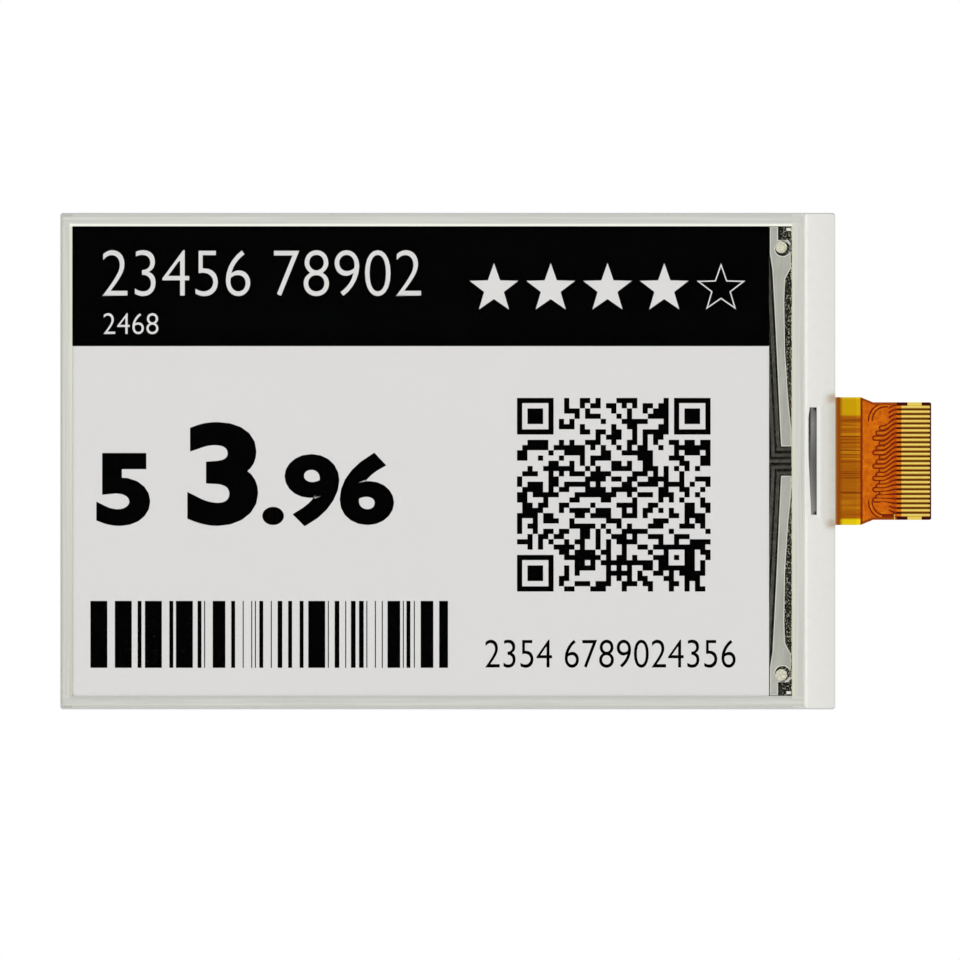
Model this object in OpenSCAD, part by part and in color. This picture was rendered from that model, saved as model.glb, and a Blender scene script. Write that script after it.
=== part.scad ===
// Electronic paper display module: a glass panel with laminated ink film, a driver chip
// on its ledge, and a flexible printed tail that folds round behind the glass.
// Millimetres. X runs right and Z up across the panel, the screen faces -Y, and the
// origin is the centre of the glass's back face. A level is a height in front of that face.

/* [Glass panel] */
// Width of the glass, along X
glass_w = 82.42; // [74:0.01:94]
// Height of the glass, along Z
glass_h = 52.82; // [48:0.01:62]
// Thickness of the glass
glass_t = 0.5; // [0.4:0.05:0.7]
// Clipped corner of the glass
glass_clip = 0.2; // [0.1:0.05:0.5]
// Border left of the screen
side_border = 1.27; // [1:0.01:2]
// Border above and below the screen
end_border = 1.43; // [1:0.01:2]
// Width of the glass ledge right of the clear sheet
ledge_w = 3.28; // [3.2:0.01:4]
// Width of the seal between the track strip and the ledge
seal_band = 1.28; // [0.8:0.01:2]
// Width of the strip of bare tracks right of the screen
strip_w = 2.46; // [2.3:0.01:3.2]

/* [Laminated layers] */
// Thin film transistor array
array_t = 0.02; // [0.01:0.005:0.04]
// Metal tracks on the array
metal_t = 0.02; // [0.01:0.005:0.025]
// Adhesive under the ink film
ink_adhesive_t = 0.025; // [0.02:0.005:0.05]
// Ink capsule layer
ink_t = 0.04; // [0.03:0.005:0.06]
// Clear electrode film
electrode_t = 0.1; // [0.05:0.01:0.2]
// Clear adhesive over the electrode film
optical_t = 0.05; // [0.025:0.005:0.1]
// Clear protective sheet
sheet_t = 0.2; // [0.1:0.01:0.3]
// Bare rim of glass outside the clear sheet
sheet_inset = 0.15; // [0.05:0.01:0.3]
// Corner radius of the clear sheet
sheet_r = 0.3; // [0.1:0.05:0.6]

/* [Track strip] */
// Radius of a transfer dot
dot_r = 0.62; // [0.4:0.01:0.65]
// Open slot round a transfer dot, at its widest
dot_slot = 0.36; // [0.2:0.01:0.4]
// Width of one fan-out track
fan_w = 0.06; // [0.04:0.01:0.07]
// Pitch of the tracks in one bundle
fan_pitch = 0.11; // [0.1:0.01:0.13]
// Pitch of the bundles where they cross the strip
bundle_rise = 0.64; // [0.5:0.01:0.68]
// Pitch of the bundles where they climb beside the screen
bundle_step = 0.55; // [0.42:0.01:0.58]
// Gap between the outer fan-out tracks and the common buses
bus_gap = 0.15; // [0.08:0.01:0.3]
// Side of an alignment mark
mark_side = 0.5; // [0.3:0.01:0.6]

/* [Driver chip] */
// Width of the chip, along X
chip_w = 0.8; // [0.6:0.01:0.9]
// Length of the chip, along Z
chip_l = 11.4; // [9:0.1:14]
// Thickness of the chip
chip_t = 0.28; // [0.2:0.01:0.3]
// Conductive film under the chip
chip_bond_t = 0.02; // [0.01:0.005:0.03]
// Gap between the clear sheet and the chip
chip_setback = 0.48; // [0.3:0.01:0.6]

/* [Ledge cover] */
// Thickness of the cover over the ledge
cover_t = 0.38; // [0.34:0.01:0.5]
// Running gap round the chip and beside the clear sheet
cover_gap = 0.03; // [0.02:0.005:0.06]
// Rise of the cover where it passes over the flex
cover_rise = 0.04; // [0.02:0.01:0.08]

/* [Flexible circuit] */
// Width of the flex where it is bonded and folds
flex_w = 13.6; // [13:0.1:15]
// Lap of the flex on the glass
flex_lap = 1.19; // [1:0.01:1.25]
// Corner radius of the flex's bonded end
lap_r = 0.6; // [0.3:0.05:0.8]
// Reach of the tail past the glass
tail_reach = 10.23; // [9.9:0.01:14]
// Width of the tail in its connector
tail_w = 12.5; // [12.4:0.01:12.8]
// Corner radius at the tail's end
tail_r = 0.2; // [0.1:0.05:0.4]
// Glass edge to the start of the tail's taper
taper_start = 2.72; // [2.5:0.01:3]
// Length of the taper
taper_l = 1.34; // [1:0.01:1.5]
// Base film
film_t = 0.05; // [0.025:0.005:0.08]
// Copper, on either side of the film
copper_t = 0.02; // [0.01:0.005:0.03]
// Cover film behind the back copper
back_cover_t = 0.03; // [0.02:0.005:0.04]
// Cover film over the front copper
front_cover_t = 0.02; // [0.01:0.005:0.04]
// Metal pads on the glass under the flex
pad_t = 0.02; // [0.01:0.005:0.03]
// Conductive film between the pads and the flex
bond_t = 0.02; // [0.01:0.005:0.03]
// Pitch of the conductors where the flex is bonded
bond_pitch = 0.38; // [0.34:0.01:0.4]
// Width of a back conductor
back_track_w = 0.22; // [0.15:0.01:0.24]
// Width of a front conductor
front_track_w = 0.24; // [0.15:0.01:0.26]
// Radius of a plated hole
via_r = 0.08; // [0.05:0.01:0.1]
// Copper ring round a plated hole
via_ring = 0.06; // [0.04:0.01:0.07]

/* [Contacts] */
// Number of contacts
contact_count = 24; // [20:2:24]
// Contact pitch
contact_pitch = 0.5; // [0.49:0.01:0.5]
// Width of a contact
contact_w = 0.3; // [0.25:0.01:0.35]
// Length of a contact
contact_l = 3.04; // [2.5:0.01:3.4]
// Contacts' gap to the tail's end
contact_setback = 0.14; // [0.05:0.01:0.3]
// Length of the edge tab on each outer contact
tab_l = 1.51; // [1:0.01:2]
// Edge tab's distance from the tail's end
tab_setback = 1.02; // [0.5:0.01:1.2]
// Bare length between the front cover film and the contacts
bare_l = 0.5; // [0.3:0.01:0.8]
// Thickness of the stiffener behind the contacts
stiffener_t = 0.2; // [0.15:0.01:0.25]
// Adhesive under the stiffener
stiffener_bond_t = 0.03; // [0.02:0.005:0.04]
// Length of the stiffener from the tail's end
stiffener_l = 5; // [4:0.1:5.1]

/* [Fold] */
// Glass edge to the first fold line
fold_start = 0.45; // [0.4:0.01:0.5]
// Distance between fold lines
fold_pitch = 0.9; // [0.8:0.01:0.98]
// Gap between the segments at a fold line
fold_gap = 0.02; // [0.01:0.005:0.04]

/* [Hidden] */
$fn = 48;

// Places across the panel
glass_right = glass_w / 2;
glass_top = glass_h / 2;
sheet_left = -glass_right + sheet_inset;
sheet_right = glass_right - ledge_w;
sheet_top = glass_top - sheet_inset;
strip_right = sheet_right - seal_band;
screen_left = -glass_right + side_border;
screen_right = strip_right - strip_w;
screen_top = glass_top - end_border;

// Levels of the laminated layers
array_level = glass_t;
metal_level = array_level + array_t;
ink_level = metal_level + ink_adhesive_t;
electrode_level = ink_level + ink_t;
optical_level = electrode_level + electrode_t;
sheet_level = optical_level + optical_t;

// Outline of a common bus: shares of the strip's width, and of the bus's height from its
// inner end, which clears the fan-out tracks
bus_shares = [
    [0.04, 0.998], [0.39, 0.998], [0.39, 0.938], [0.83, 0.938], [0.935, 0.923],
    [0.947, 0.81], [0.69, 0.76], [0.66, 0.664], [0.69, 0.437], [0.83, 0.21],
    [0.97, 0.065], [0.97, 0], [0.524, 0], [0.467, 0.119], [0.33, 0.437],
    [0.22, 0.664], [0.15, 0.8], [0.04, 0.873]
];
// Centres of a transfer dot and of an alignment mark, in the same shares
dot_shares = [0.525, 0.905];
mark_shares = [0.855, 0.986];
// An alignment mark's height as a share of its side
mark_height_share = 0.6;
// The slot lies down and to the right of its dot, by this share of the slot's width
slot_drift_share = 0.6;

// Fan-out tracks: three to a bundle, two bundles to each side of a middle one
fan_per_bundle = 3;
fan_last = 7;
// They climb beside the screen, slant towards it and meet it by this share of its half height
fan_end_share = 0.86;
// The first bundle climbs this share of a bundle's pitch away from the screen
fan_first_share = 0.78;
bus_inner = fan_cross(fan_last) + fan_w / 2 + bus_gap;
fan_rise = (screen_top * fan_end_share - bus_inner) / fan_climb(fan_last);

// Driver chip
chip_left = sheet_right + chip_setback;
chip_right = chip_left + chip_w;
chip_level = glass_t + chip_bond_t;
chip_clip_share = 0.12;
// The opening in the cover bows out to the left, by this share of the chip's width
bow_share = 0.07;
bow_ends_shares = [-0.5, 0.75];
// The chip's tracks spread over this share of its length
spread_share = 0.92;
ledge_track_w = fan_w * 1.5;
ledge_track_t = array_t + metal_t;

// Levels and places of the flexible circuit
copper_level = glass_t + pad_t + bond_t;
back_level = copper_level - back_cover_t;
film_level = copper_level + copper_t;
front_level = film_level + film_t;
flex_left = glass_right - flex_lap;
bond_left = flex_left + back_cover_t * 2;
bond_right = glass_right - back_cover_t * 2;
fold_1 = glass_right + fold_start;
fold_2 = fold_1 + fold_pitch;
fold_3 = fold_2 + fold_pitch;
tail_end = glass_right + tail_reach;
taper_left = glass_right + taper_start;
taper_right = taper_left + taper_l;
contact_right = tail_end - contact_setback;
contact_left = contact_right - contact_l;
front_cover_right = contact_left - bare_l;
stiffener_left = tail_end - stiffener_l;
back_cover_right = stiffener_left - back_cover_t;
// Plated holes: three staggered columns just left of the stiffener
via_columns = 3;
via_land = via_r + via_ring;
via_right = back_cover_right - 2 * via_land;
via_step = 2.4 * via_land;
via_left = via_right - (via_columns - 1) * via_step;
// On their way left the front conductors close up to this share of the contact pitch, and
// the middle ones drift down by this many contact pitches
closing_share = 0.9;
drift_share = 1.7;
curve_steps = 6;
// The lowest contact is spare: its conductor ends in a plating stub to the tail's edge
spare_contacts = 1;
stub_w = contact_w / 2;
stub_left = front_cover_right - 2 * stub_w;

// Heights of contact i, of its bonded conductor and of its plated hole, counted from below
function middle(i) = i - (contact_count - 1) / 2;
function contact_z(i) = middle(i) * contact_pitch;
function bond_z(i) = middle(i) * bond_pitch;
function via_z(i) =
    closing_share * contact_pitch
    * (middle(i) - drift_share * sin(180 * i / (contact_count - 1)));
function via_x(i) = via_left + (i % via_columns) * via_step;

// Where fan-out track j crosses the strip, and how far right of the screen it climbs
function fan_bundle(j) = round(j / fan_per_bundle);
function fan_offset(j) = (j - fan_per_bundle * fan_bundle(j)) * fan_pitch;
function fan_cross(j) = fan_bundle(j) * bundle_rise + fan_offset(j);
function fan_climb(j) =
    (fan_bundle(j) - 1 + fan_first_share) * bundle_step + fan_offset(j);

// A place on the track strip, from a pair of the bus's shares
function strip_place(s) = [
    screen_right + s[0] * strip_w, bus_inner + s[1] * (screen_top - bus_inner)
];

// A track of width w: straight from x0 to x1 at z1, a smooth step to z2 by x2, on to x3
function track(x0, x1, z1, x2, z2, x3, w, steps) =
    let (
        bend = [
            for (k = [0:steps])
                let (t = k / steps)
                [x1 + (x2 - x1) * t, z1 + (z2 - z1) * (1 - cos(180 * t)) / 2]
        ],
        line = concat([[x0, z1]], bend, [[x3, z2]])
    )
    concat(
        [for (p = line) p + [0, w / 2]],
        [for (k = [len(line) - 1:-1:0]) line[k] - [0, w / 2]]
    );

// A flat layer: its outline in X and Z, t thick from the given level towards the viewer
module layer(level, t) {
    rotate([90, 0, 0]) translate([0, 0, level]) linear_extrude(t) children();
}

module span(x0, x1, z0, z1) {
    translate([x0, z0]) square([x1 - x0, z1 - z0]);
}

module rounded_span(x0, x1, z0, z1, r) {
    span(x0 + r, x1 - r, z0, z1);
    span(x0, x1, z0 + r, z1 - r);
    for (x = [x0 + r, x1 - r], z = [z0 + r, z1 - r]) translate([x, z]) circle(r);
}

module both_ends() {
    children();
    mirror([0, 1]) children();
}

module clipped_span(x0, x1, z0, z1, clip) {
    polygon([
        [x0, z0 + clip], [x0, z1 - clip], [x0 + clip, z1], [x1 - clip, z1],
        [x1, z1 - clip], [x1, z0 + clip], [x1 - clip, z0], [x0 + clip, z0]
    ]);
}

// A bus, with a crescent slot that leaves its dot's pad joined at the upper left
module bus_outline() {
    drift = slot_drift_share * dot_slot / sqrt(2);
    difference() {
        polygon([for (s = bus_shares) strip_place(s)]);
        difference() {
            translate(strip_place(dot_shares) + [drift, -drift])
                circle(dot_r + dot_slot / 2);
            translate(strip_place(dot_shares)) circle(dot_r);
        }
    }
}

module fan_outline(j) {
    x = screen_right + fan_climb(j);
    z = fan_cross(j);
    half = fan_w / 2;
    if (fan_bundle(j) == 0) span(screen_right, strip_right, z - half, z + half);
    else polygon([
        [strip_right, z - half], [strip_right, z + half], [x + half, z + half],
        [x + half, bus_inner],
        [screen_right, bus_inner + (fan_climb(j) + half) * fan_rise],
        [screen_right, bus_inner + (fan_climb(j) - half) * fan_rise],
        [x - half, bus_inner], [x - half, z - half]
    ]);
}

// Hidden tracks: from the fan-out to the chip, and from the chip to the bond pads
module ledge_track_outlines() {
    for (j = [-fan_last:fan_last])
        polygon(track(
            strip_right, strip_right + seal_band / 4, sign(j) * fan_cross(abs(j)),
            sheet_right, j * spread_share * chip_l / (2 * fan_last),
            chip_left, ledge_track_w, 2
        ));
    for (i = [0:contact_count - 1])
        polygon(track(
            chip_right, chip_right + cover_gap,
            middle(i) * spread_share * chip_l / (contact_count - 1),
            bond_left - cover_gap, bond_z(i), bond_left, ledge_track_w, 2
        ));
}

module bond_strips(x0, x1) {
    for (i = [0:contact_count - 1])
        span(x0, x1, bond_z(i) - back_track_w / 2, bond_z(i) + back_track_w / 2);
}

module back_tail_outlines() {
    for (i = [spare_contacts:contact_count - 1]) {
        polygon(track(
            fold_3 + fold_gap / 2, fold_3 + fold_gap, bond_z(i),
            via_left - via_land, via_z(i), via_x(i), back_track_w, curve_steps
        ));
        translate([via_x(i), via_z(i)]) circle(via_land, $fn = 16);
    }
}

module front_tail_outlines() {
    low = contact_z(0) + front_track_w / 2;
    span(stub_left, contact_left, low - front_track_w, low);
    span(stub_left, stub_left + stub_w, -tail_w / 2, low);
    for (i = [spare_contacts:contact_count - 1]) {
        polygon(track(
            via_x(i), via_right + via_land, via_z(i),
            front_cover_right, contact_z(i), contact_left, front_track_w, curve_steps
        ));
        translate([via_x(i), via_z(i)]) circle(via_land, $fn = 16);
    }
}

module via_rounds() {
    for (i = [spare_contacts:contact_count - 1])
        translate([via_x(i), via_z(i)]) circle(via_r, $fn = 16);
}

module tail_outline() {
    corner = [tail_end - tail_r, tail_w / 2 - tail_r];
    difference() {
        polygon([
            [fold_3 + fold_gap / 2, flex_w / 2], [taper_left, flex_w / 2],
            [taper_right, tail_w / 2], [tail_end, tail_w / 2],
            [tail_end, -tail_w / 2], [taper_right, -tail_w / 2],
            [taper_left, -flex_w / 2], [fold_3 + fold_gap / 2, -flex_w / 2]
        ]);
        both_ends() translate(corner) difference() {
            square(2 * tail_r);
            circle(tail_r);
        }
    }
}

// A band of the tail between two places along X
module tail_band(x0, x1) {
    intersection() {
        tail_outline();
        span(x0, x1, -flex_w, flex_w);
    }
}

module chip_opening() {
    left = chip_left - cover_gap;
    right = chip_right + cover_gap;
    top = chip_l / 2 + cover_gap;
    bow = left - bow_share * chip_w;
    polygon([
        [left, top], [right, top], [right, -top], [left, -top],
        [bow, bow_ends_shares[0] * top], [bow, bow_ends_shares[1] * top]
    ]);
}

module tft_glass() {
    color("lightcyan") layer(0, glass_t)
        clipped_span(-glass_right, glass_right, -glass_top, glass_top, glass_clip);
}

module tft_array() {
    color("dimgray") layer(array_level, array_t)
        span(screen_left, strip_right, -screen_top, screen_top);
}

module common_bus_upper() {
    color("silver") layer(metal_level, metal_t) bus_outline();
}

module common_bus_lower() {
    color("silver") layer(metal_level, metal_t) mirror([0, 1]) bus_outline();
}

module fan_out_tracks() {
    color("gray") layer(metal_level, metal_t) {
        fan_outline(0);
        both_ends() for (j = [1:fan_last]) fan_outline(j);
    }
}

module alignment_marks() {
    half = mark_side / 2;
    color("white") layer(metal_level, metal_t) both_ends()
        translate(strip_place(mark_shares))
            span(-half, half, -half * mark_height_share, half * mark_height_share);
}

module transfer_dots() {
    level = metal_level + metal_t;
    color("gainsboro") layer(level, electrode_level - level) both_ends()
        translate(strip_place(dot_shares)) circle(dot_r);
}

module ink_adhesive() {
    color("ivory") layer(metal_level, ink_adhesive_t)
        span(screen_left, screen_right, -screen_top, screen_top);
}

module ink_film() {
    color("whitesmoke") layer(ink_level, ink_t)
        span(screen_left, screen_right, -screen_top, screen_top);
}

module electrode_film() {
    color("aliceblue", 0.4) layer(electrode_level, electrode_t)
        span(screen_left, strip_right, -screen_top, screen_top);
}

module optical_adhesive() {
    color("aliceblue", 0.3) layer(optical_level, optical_t)
        span(screen_left, strip_right, -screen_top, screen_top);
}

module protective_sheet() {
    color("aliceblue", 0.4) layer(sheet_level, sheet_t)
        rounded_span(sheet_left, sheet_right, -sheet_top, sheet_top, sheet_r);
}

module edge_seal() {
    color("lightgray") difference() {
        layer(glass_t, sheet_level - glass_t) difference() {
            rounded_span(sheet_left, sheet_right, -sheet_top, sheet_top, sheet_r);
            span(screen_left, strip_right, -screen_top, screen_top);
        }
        layer(glass_t, ledge_track_t) ledge_track_outlines();
    }
}

module ledge_tracks() {
    color("gray") layer(glass_t, ledge_track_t) ledge_track_outlines();
}

module driver_chip() {
    clip = chip_clip_share * chip_t;
    color("darkslategray") {
        layer(chip_level, chip_t - clip)
            span(chip_left, chip_right, -chip_l / 2, chip_l / 2);
        layer(chip_level + chip_t - clip, clip)
            span(chip_left + clip, chip_right - clip, clip - chip_l / 2, chip_l / 2 - clip);
    }
}

module driver_chip_bond() {
    color("tan") layer(glass_t, chip_bond_t)
        span(chip_left, chip_right, -chip_l / 2, chip_l / 2);
}

module ledge_cover() {
    pocket = flex_w / 2 + cover_gap;
    color("white") difference() {
        union() {
            layer(glass_t, cover_t) difference() {
                rounded_span(
                    sheet_right + cover_gap, glass_right, -sheet_top, sheet_top, sheet_r
                );
                chip_opening();
            }
            layer(glass_t + cover_t, cover_rise) intersection() {
                rounded_span(
                    flex_left, glass_right + 2 * lap_r, -flex_w / 2, flex_w / 2, lap_r
                );
                span(flex_left, glass_right, -flex_w, flex_w);
            }
        }
        layer(-glass_t, 2 * glass_t + ledge_track_t) ledge_track_outlines();
        layer(0, front_level + cover_gap)
            span(flex_left - cover_gap, glass_right + flex_lap, -pocket, pocket);
    }
}

module glass_bond_pads() {
    color("silver") layer(glass_t, pad_t) bond_strips(bond_left, bond_right);
}

module flex_bond_film() {
    half = middle(contact_count) * bond_pitch;
    color("khaki") difference() {
        layer(glass_t, film_level - glass_t) span(bond_left, bond_right, -half, half);
        glass_bond_pads();
        flex_root_conductors();
    }
}

module flex_root_film() {
    color("darkgoldenrod") layer(film_level, film_t) difference() {
        rounded_span(flex_left, fold_1 + 2 * lap_r, -flex_w / 2, flex_w / 2, lap_r);
        span(fold_1 - fold_gap / 2, fold_1 + flex_w, -flex_w, flex_w);
    }
}

// The back conductors of one segment
module back_conductors(x0, x1) {
    color("peru") layer(copper_level, copper_t) bond_strips(x0, x1);
}

// The cover film behind the back conductors of one segment
module back_cover(x0, x1) {
    color("goldenrod") difference() {
        layer(back_level, film_level - back_level)
            span(x0, x1, -flex_w / 2, flex_w / 2);
        back_conductors(x0 - fold_gap, x1 + fold_gap);
    }
}

// The base film of one segment
module segment_film(x0, x1) {
    color("darkgoldenrod") layer(film_level, film_t)
        span(x0, x1, -flex_w / 2, flex_w / 2);
}

module flex_root_conductors() {
    back_conductors(bond_left, fold_1 - fold_gap / 2);
}

module flex_root_back_cover() {
    back_cover(glass_right + back_cover_t, fold_1 - fold_gap / 2);
}

module flex_bend_inner_film() {
    segment_film(fold_1 + fold_gap / 2, fold_2 - fold_gap / 2);
}

module flex_bend_inner_conductors() {
    back_conductors(fold_1 + fold_gap / 2, fold_2 - fold_gap / 2);
}

module flex_bend_inner_back_cover() {
    back_cover(fold_1 + fold_gap / 2, fold_2 - fold_gap / 2);
}

module flex_bend_outer_film() {
    segment_film(fold_2 + fold_gap / 2, fold_3 - fold_gap / 2);
}

module flex_bend_outer_conductors() {
    back_conductors(fold_2 + fold_gap / 2, fold_3 - fold_gap / 2);
}

module flex_bend_outer_back_cover() {
    back_cover(fold_2 + fold_gap / 2, fold_3 - fold_gap / 2);
}

module flex_tail_film() {
    color("darkorange") layer(film_level, film_t) difference() {
        tail_outline();
        via_rounds();
    }
}

module flex_tail_back_conductors() {
    color("peru") layer(copper_level, copper_t) back_tail_outlines();
}

module flex_tail_back_cover() {
    color("goldenrod") difference() {
        layer(back_level, film_level - back_level)
            tail_band(fold_3, back_cover_right);
        flex_tail_back_conductors();
    }
}

module flex_vias() {
    color("gold") layer(film_level, film_t) via_rounds();
}

module flex_tail_front_conductors() {
    color("chocolate") layer(front_level, copper_t) front_tail_outlines();
}

module flex_tail_front_cover() {
    color("orangered") difference() {
        layer(front_level, copper_t + front_cover_t)
            tail_band(taper_left, front_cover_right);
        flex_tail_front_conductors();
    }
}

module contact_fingers() {
    low = contact_z(0) - contact_w / 2;
    color("gold") layer(front_level, copper_t) {
        for (i = [0:contact_count - 1])
            span(contact_left, contact_right, contact_z(i) - contact_w / 2,
                contact_z(i) + contact_w / 2);
        both_ends()
            span(tail_end - tab_setback - tab_l, tail_end - tab_setback,
                -tail_w / 2, low);
    }
}

module stiffener_adhesive() {
    color("khaki") layer(film_level - stiffener_bond_t, stiffener_bond_t)
        tail_band(stiffener_left, tail_end);
}

module flex_stiffener() {
    color("orange") layer(film_level - stiffener_bond_t - stiffener_t, stiffener_t)
        tail_band(stiffener_left, tail_end);
}

tft_glass();
tft_array();
common_bus_upper();
common_bus_lower();
fan_out_tracks();
alignment_marks();
transfer_dots();
ink_adhesive();
ink_film();
electrode_film();
optical_adhesive();
protective_sheet();
edge_seal();
ledge_tracks();
driver_chip();
driver_chip_bond();
ledge_cover();
glass_bond_pads();
flex_bond_film();
flex_root_film();
flex_root_conductors();
flex_root_back_cover();
flex_bend_inner_film();
flex_bend_inner_conductors();
flex_bend_inner_back_cover();
flex_bend_outer_film();
flex_bend_outer_conductors();
flex_bend_outer_back_cover();
flex_tail_film();
flex_tail_back_conductors();
flex_tail_back_cover();
flex_vias();
flex_tail_front_conductors();
flex_tail_front_cover();
contact_fingers();
stiffener_adhesive();
flex_stiffener();
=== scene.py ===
"""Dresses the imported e-paper display module for a close view.

Each sub-assembly is a class that holds its sizes and builds its own pieces, and each finish is a
frozen dataclass that writes one node tree. Lengths are in millimetres until a mesh is made.
Heights are measured from the back of the glass towards the viewer, along -Y.
"""

import logging
import math
import random
from collections.abc import Callable, Iterable, Sequence
from dataclasses import dataclass, field
from enum import Enum

import bmesh
import bpy
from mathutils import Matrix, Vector, geometry


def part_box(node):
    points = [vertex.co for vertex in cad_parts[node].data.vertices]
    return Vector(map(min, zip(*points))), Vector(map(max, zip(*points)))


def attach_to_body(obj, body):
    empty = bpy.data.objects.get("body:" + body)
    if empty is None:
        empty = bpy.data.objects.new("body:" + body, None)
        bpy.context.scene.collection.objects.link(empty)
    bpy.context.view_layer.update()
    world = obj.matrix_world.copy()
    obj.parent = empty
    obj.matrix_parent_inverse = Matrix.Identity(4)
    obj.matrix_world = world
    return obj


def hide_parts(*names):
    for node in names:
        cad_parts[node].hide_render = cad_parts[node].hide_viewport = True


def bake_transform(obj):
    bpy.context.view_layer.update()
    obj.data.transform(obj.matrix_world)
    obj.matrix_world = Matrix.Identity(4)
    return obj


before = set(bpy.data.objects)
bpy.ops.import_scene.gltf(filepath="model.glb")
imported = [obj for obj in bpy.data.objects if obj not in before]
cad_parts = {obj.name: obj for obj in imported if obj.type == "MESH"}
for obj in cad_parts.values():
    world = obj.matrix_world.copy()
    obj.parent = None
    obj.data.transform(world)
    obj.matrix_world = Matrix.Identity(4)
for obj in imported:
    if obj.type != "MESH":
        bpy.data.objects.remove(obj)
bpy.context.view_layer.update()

log = logging.getLogger("display")

MM = 0.001
# Corners nearer than this are one corner, and a face nearer than this to a level lies in it.
SAME_MM = 1e-4
SAME_M = 1e-7
LEVEL_M = 1e-6
REST = "rest_place"

Colour = tuple[float, float, float, float]
Stops = tuple[tuple[float, Colour], ...]
Point = tuple[float, float]
Mesh = bmesh.types.BMesh


def shade(red: float, green: float, blue: float) -> Colour:
    """Turns a display colour of 0 to 255 a channel into a linear one.

    Args:
        red: Red as it is displayed.
        green: Green as it is displayed.
        blue: Blue as it is displayed.

    Returns:
        The linear colour, fully opaque.
    """
    def linear(value: float) -> float:
        """Undoes the display curve of one channel."""
        part = value / 255
        return part / 12.92 if part <= 0.04045 else ((part + 0.055) / 1.055) ** 2.4
    return linear(red), linear(green), linear(blue), 1.0


class Sock:
    """A shader socket that takes part in Python expressions."""

    def __init__(self, graph: "Graph", link: bpy.types.NodeSocket) -> None:
        """Keeps the socket and the graph that it belongs to."""
        self.graph = graph
        self.link = link

    def math(self, operation: str, *values: "Sock | float", clamp: bool = False) -> "Sock":
        """Adds a Math node with these inputs and returns its result."""
        settings = {"operation": operation, "use_clamp": clamp}
        return self.graph.node("ShaderNodeMath", settings, dict(enumerate(values)))

    def __add__(self, other: "Sock | float") -> "Sock":
        """Adds."""
        return self.math("ADD", self, other)

    __radd__ = __add__

    def __sub__(self, other: "Sock | float") -> "Sock":
        """Subtracts other."""
        return self.math("SUBTRACT", self, other)

    def __rsub__(self, other: "Sock | float") -> "Sock":
        """Subtracts from other."""
        return self.math("SUBTRACT", other, self)

    def __mul__(self, other: "Sock | float") -> "Sock":
        """Multiplies."""
        return self.math("MULTIPLY", self, other)

    __rmul__ = __mul__

    def __truediv__(self, other: "Sock | float") -> "Sock":
        """Divides by other."""
        return self.math("DIVIDE", self, other)

    def __pow__(self, other: "Sock | float") -> "Sock":
        """Raises to a power."""
        return self.math("POWER", self, other)

    def __abs__(self) -> "Sock":
        """Drops the sign."""
        return self.math("ABSOLUTE", self)

    def over(self, edge: float, soft: float = 0.02) -> "Sock":
        """A mask that is 1 where the value is over an edge, with a soft step."""
        return self.math("MULTIPLY_ADD", self, 1 / soft, 0.5 - edge / soft, clamp=True)

    def under(self, edge: float, soft: float = 0.02) -> "Sock":
        """A mask that is 1 where the value is under an edge, with a soft step."""
        return self.math("MULTIPLY_ADD", self, -1 / soft, 0.5 + edge / soft, clamp=True)

    def most(self, other: "Sock | float") -> "Sock":
        """The larger of two values."""
        return self.math("MAXIMUM", self, other)

    def near(self, place: float, reach: float) -> "Sock":
        """A mask that is 1 at a place and falls to 0 at a reach from it."""
        return (1 - abs(self - place) / reach).most(0.0)

    def cycle(self, pitch: float) -> "Sock":
        """Where the value stands in a pattern of that pitch, from 0 to 1."""
        return self.math("FRACT", self / pitch)


class Graph:
    """A node tree that is written by expressions."""

    def __init__(self, tree: bpy.types.NodeTree) -> None:
        """Empties the tree of a material or a world."""
        self.tree = tree
        tree.nodes.clear()

    def node(
        self,
        kind: str,
        settings: dict[str, object] | None = None,
        sockets: "dict[int | str, Sock | float | Sequence[float]] | None" = None,
        out: int | str = 0,
    ) -> Sock:
        """Adds one node.

        Args:
            kind: The node's type.
            settings: Its own settings, which are set first; stops are a ramp's places and colours.
            sockets: Values or links of its inputs, by name or number.
            out: The output that is wanted.

        Returns:
            That output, or the first input of a node without any.
        """
        made = self.tree.nodes.new(kind)
        for key, value in (settings or {}).items():
            if key == "stops":
                ramp = made.color_ramp.elements
                while len(ramp) < len(value):
                    ramp.new(0.5)
                for stop, (place, colour) in zip(ramp, value):
                    stop.position, stop.color = place, colour
            else:
                setattr(made, key, value)
        for key, value in (sockets or {}).items():
            if isinstance(value, Sock):
                self.tree.links.new(value.link, made.inputs[key])
            else:
                made.inputs[key].default_value = value
        return Sock(self, made.outputs[out] if made.outputs else made.inputs[0])


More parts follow.
